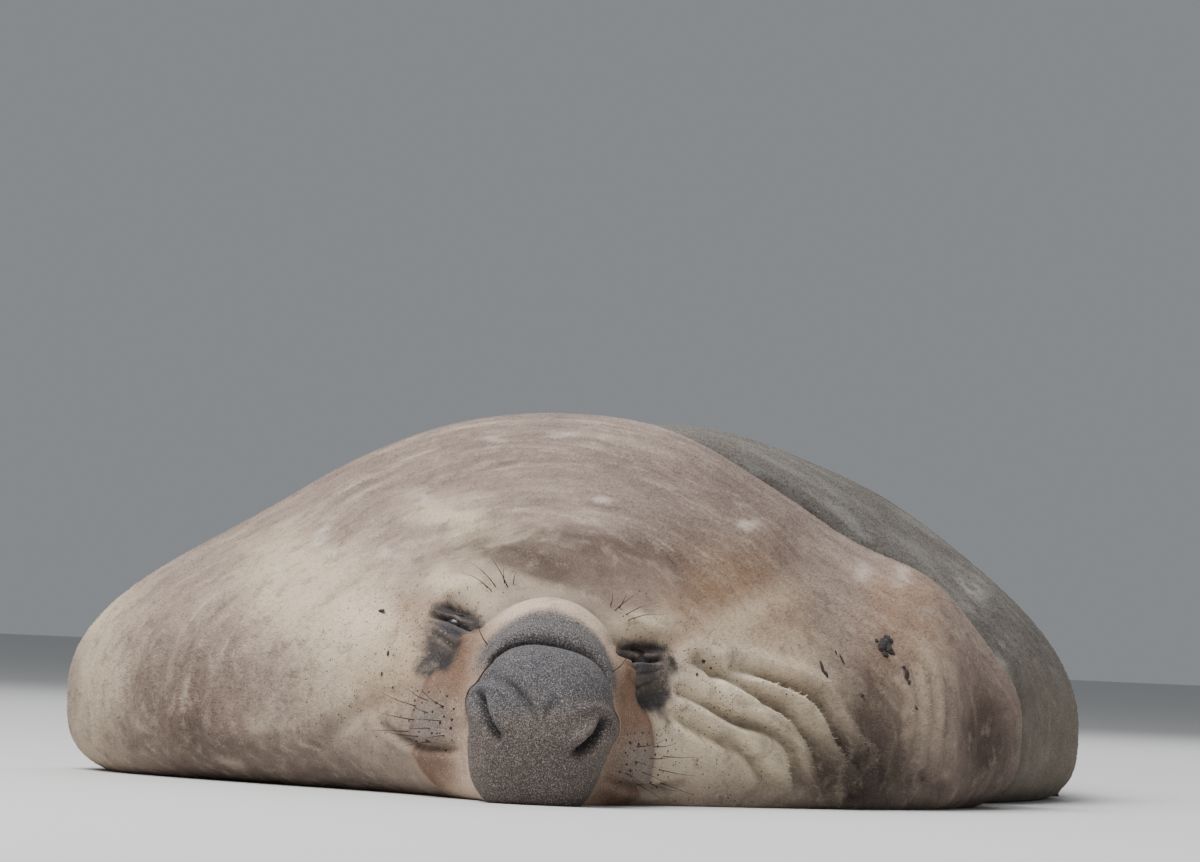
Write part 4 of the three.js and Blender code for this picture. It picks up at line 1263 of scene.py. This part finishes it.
@dataclass(frozen=True)
class Skin:
    """The whole hide, from the tip of the nose to the tail, with the flippers grown into it."""

    form: BodyForm
    around: int = 200
    coat_depth: float = 2.0  # millimetres that the skin lies inside the solids
    seam_rings: int = 3
    seam_passes: int = 14

    def rows(self) -> np.ndarray:
        """Return the station of every row of vertices."""
        stations = [-1.0]
        for index, ring in enumerate(RINGS.values()):
            stations += [index - 1 + (i + 1) / ring.steps for i in range(ring.steps)]
        return np.array(stations)

    def build(self, limbs: list[bpy.types.Object]) -> bpy.types.Object:
        """Make the skin by wrapping a ball onto the form, and join the limbs to it.

        Args:
            limbs: closed meshes that reach into the body, which are used up.
        """
        rows = self.rows()
        bm = bmesh.new()
        bmesh.ops.create_uvsphere(bm, u_segments=self.around, v_segments=len(rows) - 1, radius=1)
        points = np.array([v.co for v in bm.verts])
        row = np.rint(np.arccos(np.clip(-points[:, 2], -1, 1)) / math.pi * (len(rows) - 1)).astype(int)
        share = (np.arctan2(points[:, 1], points[:, 0]) / (2 * math.pi)) % 1
        nothing = np.zeros(len(row))
        set_layers(bm, rows[row], turned(angle_of_share(share)), nothing, nothing)
        self.refine(bm)
        layers = bm.verts.layers.float
        station = np.array([v[layers["station"]] for v in bm.verts])
        angle = np.array([v[layers["turn"]] for v in bm.verts])
        put(bm, self.form.skin(station, angle, -self.coat_depth) * MM)
        bmesh.ops.recalc_face_normals(bm, faces=bm.faces)
        body = new_object("hide", bm)
        for limb in limbs:
            self.join(body, limb)
        self.soften_seams(body)
        station, turn, limb, along = layer_values(body.data)
        dress_hide(body, self.form, station, turn, limb, along)
        return body

    def refine(self, bm: bmesh.types.BMesh) -> None:
        """Split the faces of the fine places, where each new vertex takes its layers from its neighbours."""
        layers = bm.verts.layers.float
        station = np.array([v[layers["station"]] for v in bm.verts])
        turn = np.array([v[layers["turn"]] for v in bm.verts])
        plain = self.form.plain(station, turn)
        seen = self.form.front_view(plain + NOSE_TO_ORIGIN)
        close = np.zeros(len(turn), bool)
        for x, z, wide, high, front, back in FINE_PLACES:
            near = np.hypot((seen[:, 0] - x) / wide, (seen[:, 1] - z) / high) < 1
            close |= near & (plain[:, 1] > front) & (plain[:, 1] < back)
        bm.verts.ensure_lookup_table()
        edges = [e for e in bm.edges if close[e.verts[0].index] and close[e.verts[1].index]]
        bmesh.ops.subdivide_edges(bm, edges=edges, cuts=1, use_grid_fill=True)

    def join(self, body: bpy.types.Object, limb: bpy.types.Object) -> None:
        """Make one closed skin of the body and a limb, and remove the limb."""
        union = body.modifiers.new("limb", "BOOLEAN")
        union.operation = "UNION"
        union.solver = "MANIFOLD"
        union.object = limb
        graph = bpy.context.evaluated_depsgraph_get()
        joined = bpy.data.meshes.new_from_object(body.evaluated_get(graph))
        body.modifiers.clear()
        body.data = joined
        joined.name = "hide"
        bpy.data.objects.remove(limb)

    def soften_seams(self, body: bpy.types.Object) -> None:
        """Smooth the skin where the limbs grow out of it."""
        bm = bmesh.new()
        bm.from_mesh(body.data)
        limb = bm.verts.layers.float["limb"]
        chosen = {v for e in bm.edges if abs(e.verts[0][limb] - e.verts[1][limb]) > 0.5 for v in e.verts}
        for _ in range(self.seam_rings):
            chosen |= {e.other_vert(v) for v in chosen for e in v.link_edges}
        raised = [v for v in chosen if v.co.z > 0.002]
        relax(bm, raised, self.seam_passes)
        bm.to_mesh(body.data)
        bm.free()
        body.data.polygons.foreach_set("use_smooth", np.ones(len(body.data.polygons), bool))


# The flippers


def slab(across: int, along: int) -> bmesh.types.BMesh:
    """Make a closed unit slab with a grid of faces above and below.

    Args:
        across: how many faces it has along x.
        along: how many along y.
    """
    bm = bmesh.new()
    bmesh.ops.create_cube(bm, size=1)
    for axis, cuts in ((0, across - 1), (1, along - 1)):
        edges = [e for e in bm.edges if abs((e.verts[0].co - e.verts[1].co)[axis]) > 0.9]
        bmesh.ops.subdivide_edges(bm, edges=edges, cuts=cuts, use_grid_fill=True)
    return bm


@dataclass(frozen=True)
class ForeFlipper:
    """A hand of five digits laid back along the flank, thumb lowest, in millimetres, stations and turns."""

    form: BodyForm
    side: int
    wrist: float
    flare: float  # how far the tip stands off the flank
    digits: tuple[float, ...] = (1.35, 1.3, 1.2, 1.06, 0.9)  # stations that each reaches back, thumb first
    low: float = 0.5
    wrist_high: float = 0.1
    tip_high: float = 0.26
    thick: float = 30
    root_thick: float = 26
    sunk: float = 12
    nail_across: float = 0.86
    nail_length: float = 50
    nail_half: float = 7.5

    def place(self, along: np.ndarray, across: np.ndarray, lift: np.ndarray) -> tuple[np.ndarray, ...]:
        """Return the points of the hand with their stations and angles."""
        digit = (1 + across) / 2 * (len(self.digits) - 1)
        webbing = 1 - 0.1 * np.sin(math.pi * digit) ** 2 * smoothstep(0.6, 1, along)
        station = self.wrist + SmoothCurve(list(self.digits))(digit) * along * webbing
        high = self.wrist_high + (self.tip_high - self.wrist_high) * along
        angle = self.side * (math.pi / 2 + self.low - (self.low + high) * (1 + across) / 2)
        point = self.form.skin(station, angle, lift)
        point[..., 0] += self.side * self.flare * along**1.6
        return point, station, angle

    def thickness(self, along: np.ndarray, across: np.ndarray) -> np.ndarray:
        """Return how thick the hand is, with a ridge along each digit."""
        digit = (1 + across) / 2 * (len(self.digits) - 1)
        ridge = np.cos(math.pi * digit) ** 4 * smoothstep(0.1, 0.5, along)
        rim = np.sqrt(np.maximum(0, 1 - across**6)) * np.sqrt(np.maximum(0, 1 - along**10))
        bulk = self.thick * (0.55 + 0.45 * ridge) * (1 - 0.35 * along) + self.root_thick * (1 - along) ** 2
        return 8 + (bulk - 8) * rim

    def build(self, number: int) -> bpy.types.Object:
        """Make the hand as a closed mesh.

        Args:
            number: the limb's number, which its vertices remember.
        """
        bm = slab(44, 30)
        unit = np.array([v.co for v in bm.verts])
        along, across = unit[:, 1] + 0.5, np.clip(unit[:, 0] * 2, -1, 1)
        lift = -self.sunk + (self.thickness(along, across) + self.sunk) * smoothstep(0, 0.12, along)
        point, station, angle = self.place(along, across, np.where(unit[:, 2] > 0, lift, -self.sunk))
        set_layers(bm, station, angle, np.full(len(unit), float(number)), along)
        put(bm, point * MM)
        relax(bm, [v for v in bm.verts if v.co.z > CLEAR_OF_FLOOR])
        bmesh.ops.recalc_face_normals(bm, faces=bm.faces)
        return new_object(f"hand_{number}", bm)

    def nails(self, name: str) -> bpy.types.Object:
        """Make the five curved nails at the ends of the digits."""
        bm, points = copies(long_cone(14, 0.22, 7), len(self.digits))
        share = points[:, 2] + 0.5
        shape = np.stack((
            points[:, 0] * 0.62 * self.nail_half - self.side * 4 * share**2,
            points[:, 1] * self.nail_half * (1 - 0.25 * share),
            (points[:, 2] + 0.15) * self.nail_length,
        ), axis=-1)
        placed = []
        for index in range(len(self.digits)):
            across = np.array([(2 * index / (len(self.digits) - 1) - 1) * self.nail_across])
            lift = self.thickness(np.array([0.9]), across)
            root = self.place(np.array([0.9]), across, lift)[0][0]
            tip = self.place(np.array([1.02]), across, lift * 0.7)[0][0]
            root[2] = max(root[2], 14)
            axes = np.array(Vector(tip - root).to_track_quat("Z", "X").to_matrix())
            placed.append(root + shape @ axes.T)
        put(bm, np.array(placed) * MM)
        bmesh.ops.recalc_face_normals(bm, faces=bm.faces)
        made = new_object(name, bm)
        made.data.materials.append(Horn().material())
        return made


@dataclass(frozen=True)
class HindFlipper:
    """A fan of five webbed digits on the floor, the outer two the longest, in millimetres."""

    side: int
    root: tuple[float, float] = (112, 3850)  # aside of the tail and behind the nose
    heading: float = 0.27
    digits: tuple[float, ...] = (570, 500, 460, 500, 570)
    spread: float = 0.3
    root_half: float = 66
    root_height: float = 62
    root_thick: float = 104
    tip_thick: float = 30

    def build(self, number: int) -> bpy.types.Object:
        """Make the fan as a closed mesh.

        Args:
            number: the limb's number, which its vertices remember.
        """
        bm = slab(44, 32)
        unit = np.array([v.co for v in bm.verts])
        along, across = unit[:, 1] + 0.5, np.clip(unit[:, 0] * 2, -1, 1)
        digit = (across + 1) / 2 * (len(self.digits) - 1)
        webbing = 1 - 0.08 * np.sin(math.pi * digit) ** 2 * smoothstep(0.5, 1, along)
        length = SmoothCurve(list(self.digits))(digit) * along * webbing
        bearing = self.heading * self.side + across * self.spread * along**0.8
        half = across * self.root_half * (1 - 0.3 * along)
        ridge = np.cos(math.pi * digit) ** 4 * smoothstep(0.15, 0.5, along)
        ridged = self.tip_thick * (0.55 + 0.45 * ridge * (1 - 0.4 * along))
        bulk = self.root_thick * (1 - along) ** 1.3 + ridged
        thick = bulk * (0.3 + 0.7 * np.sqrt(np.maximum(0, 1 - across**4))) / 2 - 1.5
        middle = self.root_height - (self.root_height - 14) * smoothstep(0, 0.75, along)
        x = RINGS["tail"].aside + self.root[0] * self.side + half + np.sin(bearing) * length
        back = self.root[1] + np.cos(bearing) * length
        z = np.maximum(0, middle + np.where(unit[:, 2] > 0, thick, -thick))
        station, angle = ring_at("ankle") + 2.9 * along, self.side * (0.6 + 0.5 * across)
        set_layers(bm, station, angle, np.full(len(unit), float(number)), along)
        put(bm, (np.stack((x, back, z), axis=-1) + NOSE_TO_ORIGIN) * MM)
        relax(bm, [v for v in bm.verts if v.co.z > CLEAR_OF_FLOOR])
        bmesh.ops.recalc_face_normals(bm, faces=bm.faces)
        return new_object(f"fan_{number}", bm)


# Eyes, whiskers and crusts


def head_axes(normal: np.ndarray) -> Matrix:
    """Return axes at a place on the head: x along the leaning head, y into the skin and z up."""
    inward = -Vector(normal)
    aside = Vector((math.cos(HEAD_ROLL), 0, -math.sin(HEAD_ROLL)))
    aside = (aside - inward * aside.dot(inward)).normalized()
    return Matrix((aside, inward, aside.cross(inward))).transposed()


@dataclass(frozen=True)
class Eye:
    """An eyeball behind closed lids, of which a wet line shows in the slit, in millimetres."""

    form: BodyForm
    side: str
    x: float
    z: float
    size: tuple[float, float, float] = (25, 16, 17)
    proud: float = -1.0

    def build(self) -> bpy.types.Object:
        """Make the eyeball just behind the slit between the lids."""
        station, angle = self.form.find(np.array([[self.x, self.z]]))
        normal = self.form.normal(station, angle)[0]
        centre = self.form.skin(station, angle)[0] - normal * (self.size[1] - self.proud)
        bm = bmesh.new()
        turn = head_axes(normal) @ Matrix.Diagonal(Vector(self.size))
        place = Matrix.Translation(Vector(centre) * MM) @ Matrix.Scale(MM, 4) @ turn.to_4x4()
        bmesh.ops.create_uvsphere(bm, u_segments=32, v_segments=20, radius=1, matrix=place)
        made = new_object(f"eyeball_{self.side}", bm)
        made.data.materials.append(WetEye().material())
        return made


@dataclass(frozen=True)
class Bristle:
    """One whisker: its root's x and z on the leaning head, and how far its tip lies from there."""

    x: float
    z: float
    aside: float
    above: float
    out: float = 14.0
    thick: float = 0.9


# The animal's right side; the left is its mirror image. Brow, inner corner of the eye, then the lip's pad.
BRISTLES = (
    Bristle(-108, 191, -50, 30), Bristle(-96, 199, -6, 24), Bristle(-82, 200, 2, 22),
    Bristle(-113, 183, -19, 8), Bristle(-120, 187, -44, 14), Bristle(-90, 194, -30, 34),
    Bristle(-103, 102, -18, 38, 18),
    Bristle(-149, -2, -34, 18), Bristle(-172, -16, -30, 10), Bristle(-190, -31, -56, 2),
    Bristle(-180, -54, -44, -2), Bristle(-164, -38, -40, -10), Bristle(-150, -24, -36, -4),
    Bristle(-176, 2, -34, 14), Bristle(-192, -10, -60, 12), Bristle(-160, -58, -36, -14),
    Bristle(-140, -44, -28, -12), Bristle(-196, -50, -64, -10),
)


@dataclass(frozen=True)
class Whiskers:
    """The stiff whiskers of one side with the dark pits that they grow from."""

    form: BodyForm
    side: str
    pit: float = 2.2  # half width of a pit, in millimetres

    def roots(self) -> tuple[np.ndarray, np.ndarray, np.ndarray]:
        """Return each whisker's root, the way the skin faces there, and its sweep, in millimetres."""
        mirror = -SIDES[self.side]
        shift, drop = (12, 4) if mirror < 0 else (0, 0)  # the face is not quite even
        rng = np.random.default_rng(21 + mirror)
        places = np.array([((b.x * mirror) - shift * (b.z > 60), b.z - drop) for b in BRISTLES])
        station, angle = self.form.find(places)
        sweep = np.array([(b.aside * mirror, -b.out, b.above) for b in BRISTLES])
        sweep = sweep * rng.uniform(0.8, 1.15, (len(BRISTLES), 1))
        cos, sin = math.cos(HEAD_ROLL), math.sin(HEAD_ROLL)
        lean = np.array(((cos, 0, -sin), (0, 1, 0), (sin, 0, cos)))
        return self.form.skin(station, angle), self.form.normal(station, angle), sweep @ lean

    def build(self) -> bpy.types.Object:
        """Make the whiskers as thin bent cones."""
        root, normal, sweep = self.roots()
        bm, points = copies(long_cone(6, 0.25, 9), len(root))
        share = (points[:, 2] + 0.5)[None, :, None]
        reach = np.linalg.norm(sweep, axis=1)[:, None, None]
        middle = root[:, None] + normal[:, None] * 0.4 * reach + sweep[:, None] * 0.25
        start = root[:, None] - normal[:, None] * 3
        end = root[:, None] + sweep[:, None]
        path = (1 - share) ** 2 * start + 2 * share * (1 - share) * middle + share**2 * end
        thick = np.array([b.thick for b in BRISTLES])[:, None, None]
        path = path + thick * (points[None, :, :1] * (1, 0, 0) + points[None, :, 1:2] * (0, 0.5, 0.9))
        put(bm, path * MM)
        bmesh.ops.recalc_face_normals(bm, faces=bm.faces)
        made = new_object(f"whiskers_{self.side}", bm)
        made.data.materials.append(Horn().material())
        return made

    def pits(self) -> bpy.types.Object:
        """Make the dark pits in rows on the lip's pad, as low beads sunk in the skin."""
        mirror = -SIDES[self.side]
        places = [
            (mirror * (-132 - 15 * column - 4 * (row % 2)), 18 - 15 * row - 3 * abs(column - 2))
            for row in range(6) for column in range(5)
        ]
        places = np.array(places) + np.random.default_rng(35 + mirror).normal(0, 2.6, (len(places), 2))
        station, angle = self.form.find(places)
        unit = bmesh.new()
        bmesh.ops.create_icosphere(unit, subdivisions=2, radius=1)
        bm, points = copies(unit, len(places))
        normal = self.form.normal(station, angle)
        middle = self.form.skin(station, angle) - 2.6 * normal
        rng = np.random.default_rng(33 + mirror)
        size = self.pit * rng.uniform(0.6, 1.1, (len(places), 1, 1))
        put(bm, (middle[:, None] + points[None] * size) * MM)
        made = new_object(f"whisker_pits_{self.side}", bm)
        made.data.materials.append(Crust().material())
        return made


@dataclass(frozen=True)
class Crusts:
    """Dried scabs and clots of dark sand stuck to the side of the neck and below the eyes."""

    form: BodyForm
    # x, z, half width and half height in millimetres, and how far it is turned
    lumps: tuple[tuple[float, float, float, float, float], ...] = (
        (538, 143, 10, 14, 0.2), (544, 150, 9, 8, 0.8), (532, 136, 8, 8, 0.4), (546, 134, 8, 9, -0.4),
        (538, 126, 5, 6, 0.5), (524, 148, 3, 4, 0.5), (573, 96, 5, 9, 0.0), (569, 107, 3, 4, 0.4),
        (577, 84, 3, 4, 0.3), (590, 44, 4, 2, 0.2), (434, 102, 3, 12, -0.5), (441, 90, 2.6, 7, -0.5),
        (466, 116, 2.2, 8, -0.7), (456, 126, 1.8, 4, -0.5), (500, 60, 3, 4, 0.4), (-238, 96, 2, 4, 0.0),
        (-252, 160, 6, 3, 0.4), (-246, 64, 1.6, 3, 0.1), (-228, 44, 2, 2, 0.6), (244, 104, 3, 4, 0.3),
        (256, 94, 2, 2.4, 0.0), (234, 84, 1.6, 3, 0.2),
    )
    proud: float = 0.35

    def build(self) -> bpy.types.Object:
        """Make every lump as a flattened, knobbly ball half sunk in the skin."""
        places = np.array(self.lumps)
        station, angle = self.form.find(places[:, :2], leaning=False)
        unit = bmesh.new()
        bmesh.ops.create_icosphere(unit, subdivisions=4, radius=1)
        bm, points = copies(unit, len(places))
        knobs = LatticeNoise(12)
        shaped = []
        roots, normals = self.form.skin(station, angle), self.form.normal(station, angle)
        for place, root, normal in zip(places, roots, normals):
            axes = np.array(head_axes(normal))
            turn = np.array(Matrix.Rotation(place[4], 3, "Y"))
            rough = 1 + 0.32 * knobs(points + root, 0.5)[:, None] + 0.16 * knobs(points - root, 0.2)[:, None]
            size = (place[2], self.proud * min(place[2:4]), place[3])
            shaped.append(root + (points * rough * size) @ turn.T @ axes.T)
        put(bm, np.array(shaped) * MM)
        made = new_object("crusts", bm)
        made.data.materials.append(Crust().material())
        return made


# The coat


@dataclass(frozen=True)
class Coat:
    """Part of the short, flat coat: tufts that break the form, each one thin blade.

    Lengths are in metres. The tufts of a part lie between two stations of the body.
    """

    name: str
    first: float
    last: float
    count: int
    length: float
    seed: int
    width: float = 0.15  # of the length
    rise: float = 0.14  # of the length
    bake_patch: float = 0.003

    def build(self, hide: bpy.types.Object, form: BodyForm) -> bpy.types.Object:
        """Scatter the tufts over the hide, lying towards the tail.

        Args:
            hide: the finished skin, whose layers say where each place lies.
            form: the body's shape.
        """
        mesh = hide.data
        mesh.calc_loop_triangles()
        corners = np.empty(len(mesh.loop_triangles) * 3, np.int32)
        mesh.loop_triangles.foreach_get("vertices", corners)
        corners = corners.reshape(-1, 3)
        points = mesh_points(mesh)
        layers = np.stack(layer_values(mesh), axis=-1)
        middle = layers[corners].mean(axis=1)
        within = (middle[:, 0] > self.first) & (middle[:, 0] <= self.last)
        corners = corners[within & (points[corners][:, :, 2].min(axis=1) > CLEAR_OF_FLOOR)]
        edge = points[corners[:, 1:]] - points[corners[:, :1]]
        facing = np.cross(edge[:, 0], edge[:, 1])
        area = np.linalg.norm(facing, axis=1) / 2
        rng = np.random.default_rng(self.seed)
        pick = rng.choice(len(corners), self.count, p=area / area.sum())
        corner = corners[pick]
        weight = rng.dirichlet((1, 1, 1), self.count)
        root = (points[corner] * weight[:, :, None]).sum(axis=1)
        place = (layers[corner] * weight[:, :, None]).sum(axis=1)
        normal = facing[pick] / (2 * area[pick, None])
        rise = layers[corner[:, 1:], 0] - layers[corner[:, :1], 0]
        edges = edge[pick]
        lie = rise[:, :1] * np.cross(edges[:, 1], normal) - rise[:, 1:] * np.cross(edges[:, 0], normal)
        backward = edges[:, 0] * rise[:, :1] + edges[:, 1] * rise[:, 1:]
        lie *= np.sign(np.einsum("ij,ij->i", lie, backward))[:, None]
        lie /= np.maximum(np.linalg.norm(lie, axis=1, keepdims=True), 1e-9)
        lie += np.cross(normal, lie) * rng.normal(0, 0.28, (self.count, 1))
        aside = np.cross(normal, lie)
        on_limb = np.clip(place[:, 2:3], 0, 1)
        long = self.length * rng.uniform(0.6, 1.25, (self.count, 1)) * (1 - 0.55 * on_limb)
        half = long * self.width / 2
        blade = np.stack((
            root - aside * half - normal * 0.0008,
            root + aside * half - normal * 0.0008,
            root + lie * long * 0.5 + aside * half * 0.8 + normal * long * self.rise * 0.7,
            root + lie * long * 0.5 - aside * half * 0.8 + normal * long * self.rise * 0.7,
            root + lie * long + normal * long * self.rise * rng.uniform(0.3, 1, (self.count, 1)),
        ), axis=1)
        blade[..., 2] = np.maximum(blade[..., 2], 0)
        first = 5 * np.arange(self.count)[:, None]
        faces = np.concatenate((first + (0, 1, 2), first + (0, 2, 3), first + (3, 2, 4)), axis=1)
        made_mesh = bpy.data.meshes.new(self.name)
        made_mesh.from_pydata(blade.reshape(-1, 3).tolist(), [], faces.reshape(-1, 3).tolist())
        made = bpy.data.objects.new(self.name, made_mesh)
        bpy.context.scene.collection.objects.link(made)
        dress_hide(made, form, *place.T, each=5)
        self.bake_map(made_mesh, form, place)
        return made

    def bake_map(self, mesh: bpy.types.Mesh, form: BodyForm, place: np.ndarray) -> None:
        """Add the map on which each tuft is a small patch at its root's place on the unrolled skin."""
        station, turn, limb, along = place.T
        limb = np.rint(limb)
        share = form.curves["back"](np.maximum(station, 0)) / RINGS["tail_tip"].back
        back = np.where(station < 0, 0.02 * (1 + station), 0.02 + 0.84 * share)
        column = 0.05 + 0.23 * (limb - 1) + 0.1 + 0.06 * np.sin(turn)
        u = np.where(limb > 0, column, 0.5 + 0.48 * turn / math.pi)
        v = np.where(limb > 0, 0.89 + 0.1 * along, back)
        patch = np.array(((-0.5, 0), (0.5, 0), (0.5, 0.5), (-0.5, 0.5), (0, 1))) * self.bake_patch
        corners = np.stack((u, v), axis=-1)[:, None] + patch
        loops = np.empty(len(mesh.loops), np.int32)
        mesh.loops.foreach_get("vertex_index", loops)
        mesh.uv_layers.new(name="OFBake").data.foreach_set("uv", corners.reshape(-1, 2)[loops].ravel())


# The stage


class Stage:
    """The floor, the lights and the camera."""

    def build(self) -> None:
        """Add the floor, the lights and the camera at the photograph's viewing angle."""
        bm = bmesh.new()
        bmesh.ops.create_grid(bm, x_segments=1, y_segments=1, size=60)
        floor = new_object("floor", bm, smooth=False)
        paper = bpy.data.materials.new("pale floor")
        paper.use_nodes = True
        shader = paper.node_tree.nodes["Principled BSDF"]
        shader.inputs["Base Color"].default_value = (0.62, 0.62, 0.61, 1)
        shader.inputs["Roughness"].default_value = 0.9
        floor.data.materials.append(paper)
        self.light("key", (-3.2, -4.0, 7.2), 6.0, 1230)
        self.light("fill", (6.0, -7.0, 4.0), 7.0, 60)
        self.light("back", (1.5, 6.5, 6.0), 6.0, 420)
        world = bpy.data.worlds.new("room")
        world.use_nodes = True
        world.node_tree.nodes["Background"].inputs["Color"].default_value = (0.86, 0.9, 0.95, 1)
        world.node_tree.nodes["Background"].inputs["Strength"].default_value = 0.29
        bpy.context.scene.world = world
        self.camera()

    def light(self, name: str, place: tuple[float, float, float], size: float, power: float) -> None:
        """Add a soft square light that faces the animal."""
        data = bpy.data.lights.new(name, "AREA")
        data.size = size
        data.energy = power
        lamp = bpy.data.objects.new(name, data)
        lamp.location = place
        aim = Vector((0, -0.3, 0.3)) - Vector(place)
        lamp.rotation_euler = aim.to_track_quat("-Z", "Y").to_euler()
        bpy.context.scene.collection.objects.link(lamp)

    def camera(self) -> None:
        """Add a long lens close to the ground before the nose, turned and rolled as the photograph is."""
        data = bpy.data.cameras.new("camera")
        data.sensor_width = 36
        data.lens = 177.63
        data.clip_end = 200
        camera = bpy.data.objects.new("camera", data)
        focal = data.lens / data.sensor_width * 1200
        ahead = Vector((-55, -205, -focal)).normalized()
        lean = math.atan(0.0437)
        up = Vector((math.sin(lean), math.cos(lean), 0))
        up = (up - ahead * up.dot(ahead)).normalized()
        turn = Matrix((ahead.cross(up), ahead, up))
        camera.matrix_world = Matrix.Translation((-0.26, -10.32, 0.25)) @ turn.to_4x4()
        bpy.context.scene.collection.objects.link(camera)
        bpy.context.scene.camera = camera


FLESH = (
    "proboscis", "head", "lower_jaw", "neck", "chest", "belly", "loins", "hips", "tail",
    *(
        f"{part}_{side}"
        for part in ("whisker_pad", "eyelid_upper", "eyelid_lower", "fore_flipper", "hind_flipper")
        for side in SIDES
    ),
)
FORE_FLIPPERS = {"right": (0.2, 130), "left": (0.58, 6)}  # stations behind the trunk's ring, and flare
EYE_PLACES = {"right": (-162, 129), "left": (134, 128)}
COATS = (
    Coat("coat_head", -0.9, ring_at("temple"), 30000, 0.0042, 41),
    Coat("coat_neck", ring_at("temple"), ring_at("hood_crest"), 52000, 0.009, 42),
    Coat("coat_trunk", ring_at("hood_crest"), ring_at("flank"), 52000, 0.011, 43),
    Coat("coat_rear", ring_at("flank"), ring_at("tail_tip"), 52000, 0.011, 44),
)


def settle(piece: bpy.types.Object, slot: str, *nodes: str) -> None:
    """Tie a piece to the body, and hide the solids that it stands for.

    Args:
        piece: the finished object.
        slot: the record's material slot; not used.
        nodes: the names of the solids.
    """
    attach(piece, "root")
    if nodes:
        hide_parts(*nodes)
    piece.data.calc_loop_triangles()
    LOG.info("%s: %d triangles", piece.name, len(piece.data.loop_triangles))


def main() -> None:
    """Build the seal, the floor, the lights and the camera."""
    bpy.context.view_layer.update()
    form = seal_form()
    Stage().build()
    LOG.info("stage set")
    hands = {
        side: ForeFlipper(form, way, ring_at("trunk") + FORE_FLIPPERS[side][0], FORE_FLIPPERS[side][1])
        for side, way in SIDES.items()
    }
    limbs = [hand.build(number) for number, hand in enumerate(hands.values(), 1)]
    limbs += [HindFlipper(way).build(number) for number, way in enumerate(SIDES.values(), 3)]
    hide = Skin(form).build(limbs)
    settle(hide, "hide", *FLESH)
    for coat in COATS:
        settle(coat.build(hide, form), "hide")
    for side, hand in hands.items():
        settle(hand.nails(f"nails_{side}"), "nail", *(f"nail_{side}_{i}" for i in range(1, 6)))
        settle(Eye(form, side, *EYE_PLACES[side]).build(), "eye", f"eye_{side}")
        whiskers = Whiskers(form, side)
        settle(whiskers.build(), "nail")
        settle(whiskers.pits(), "nose_hide")
    settle(Crusts(form).build(), "nose_hide")


if __name__ == "__main__":
    logging.basicConfig(level=logging.INFO)
    main()
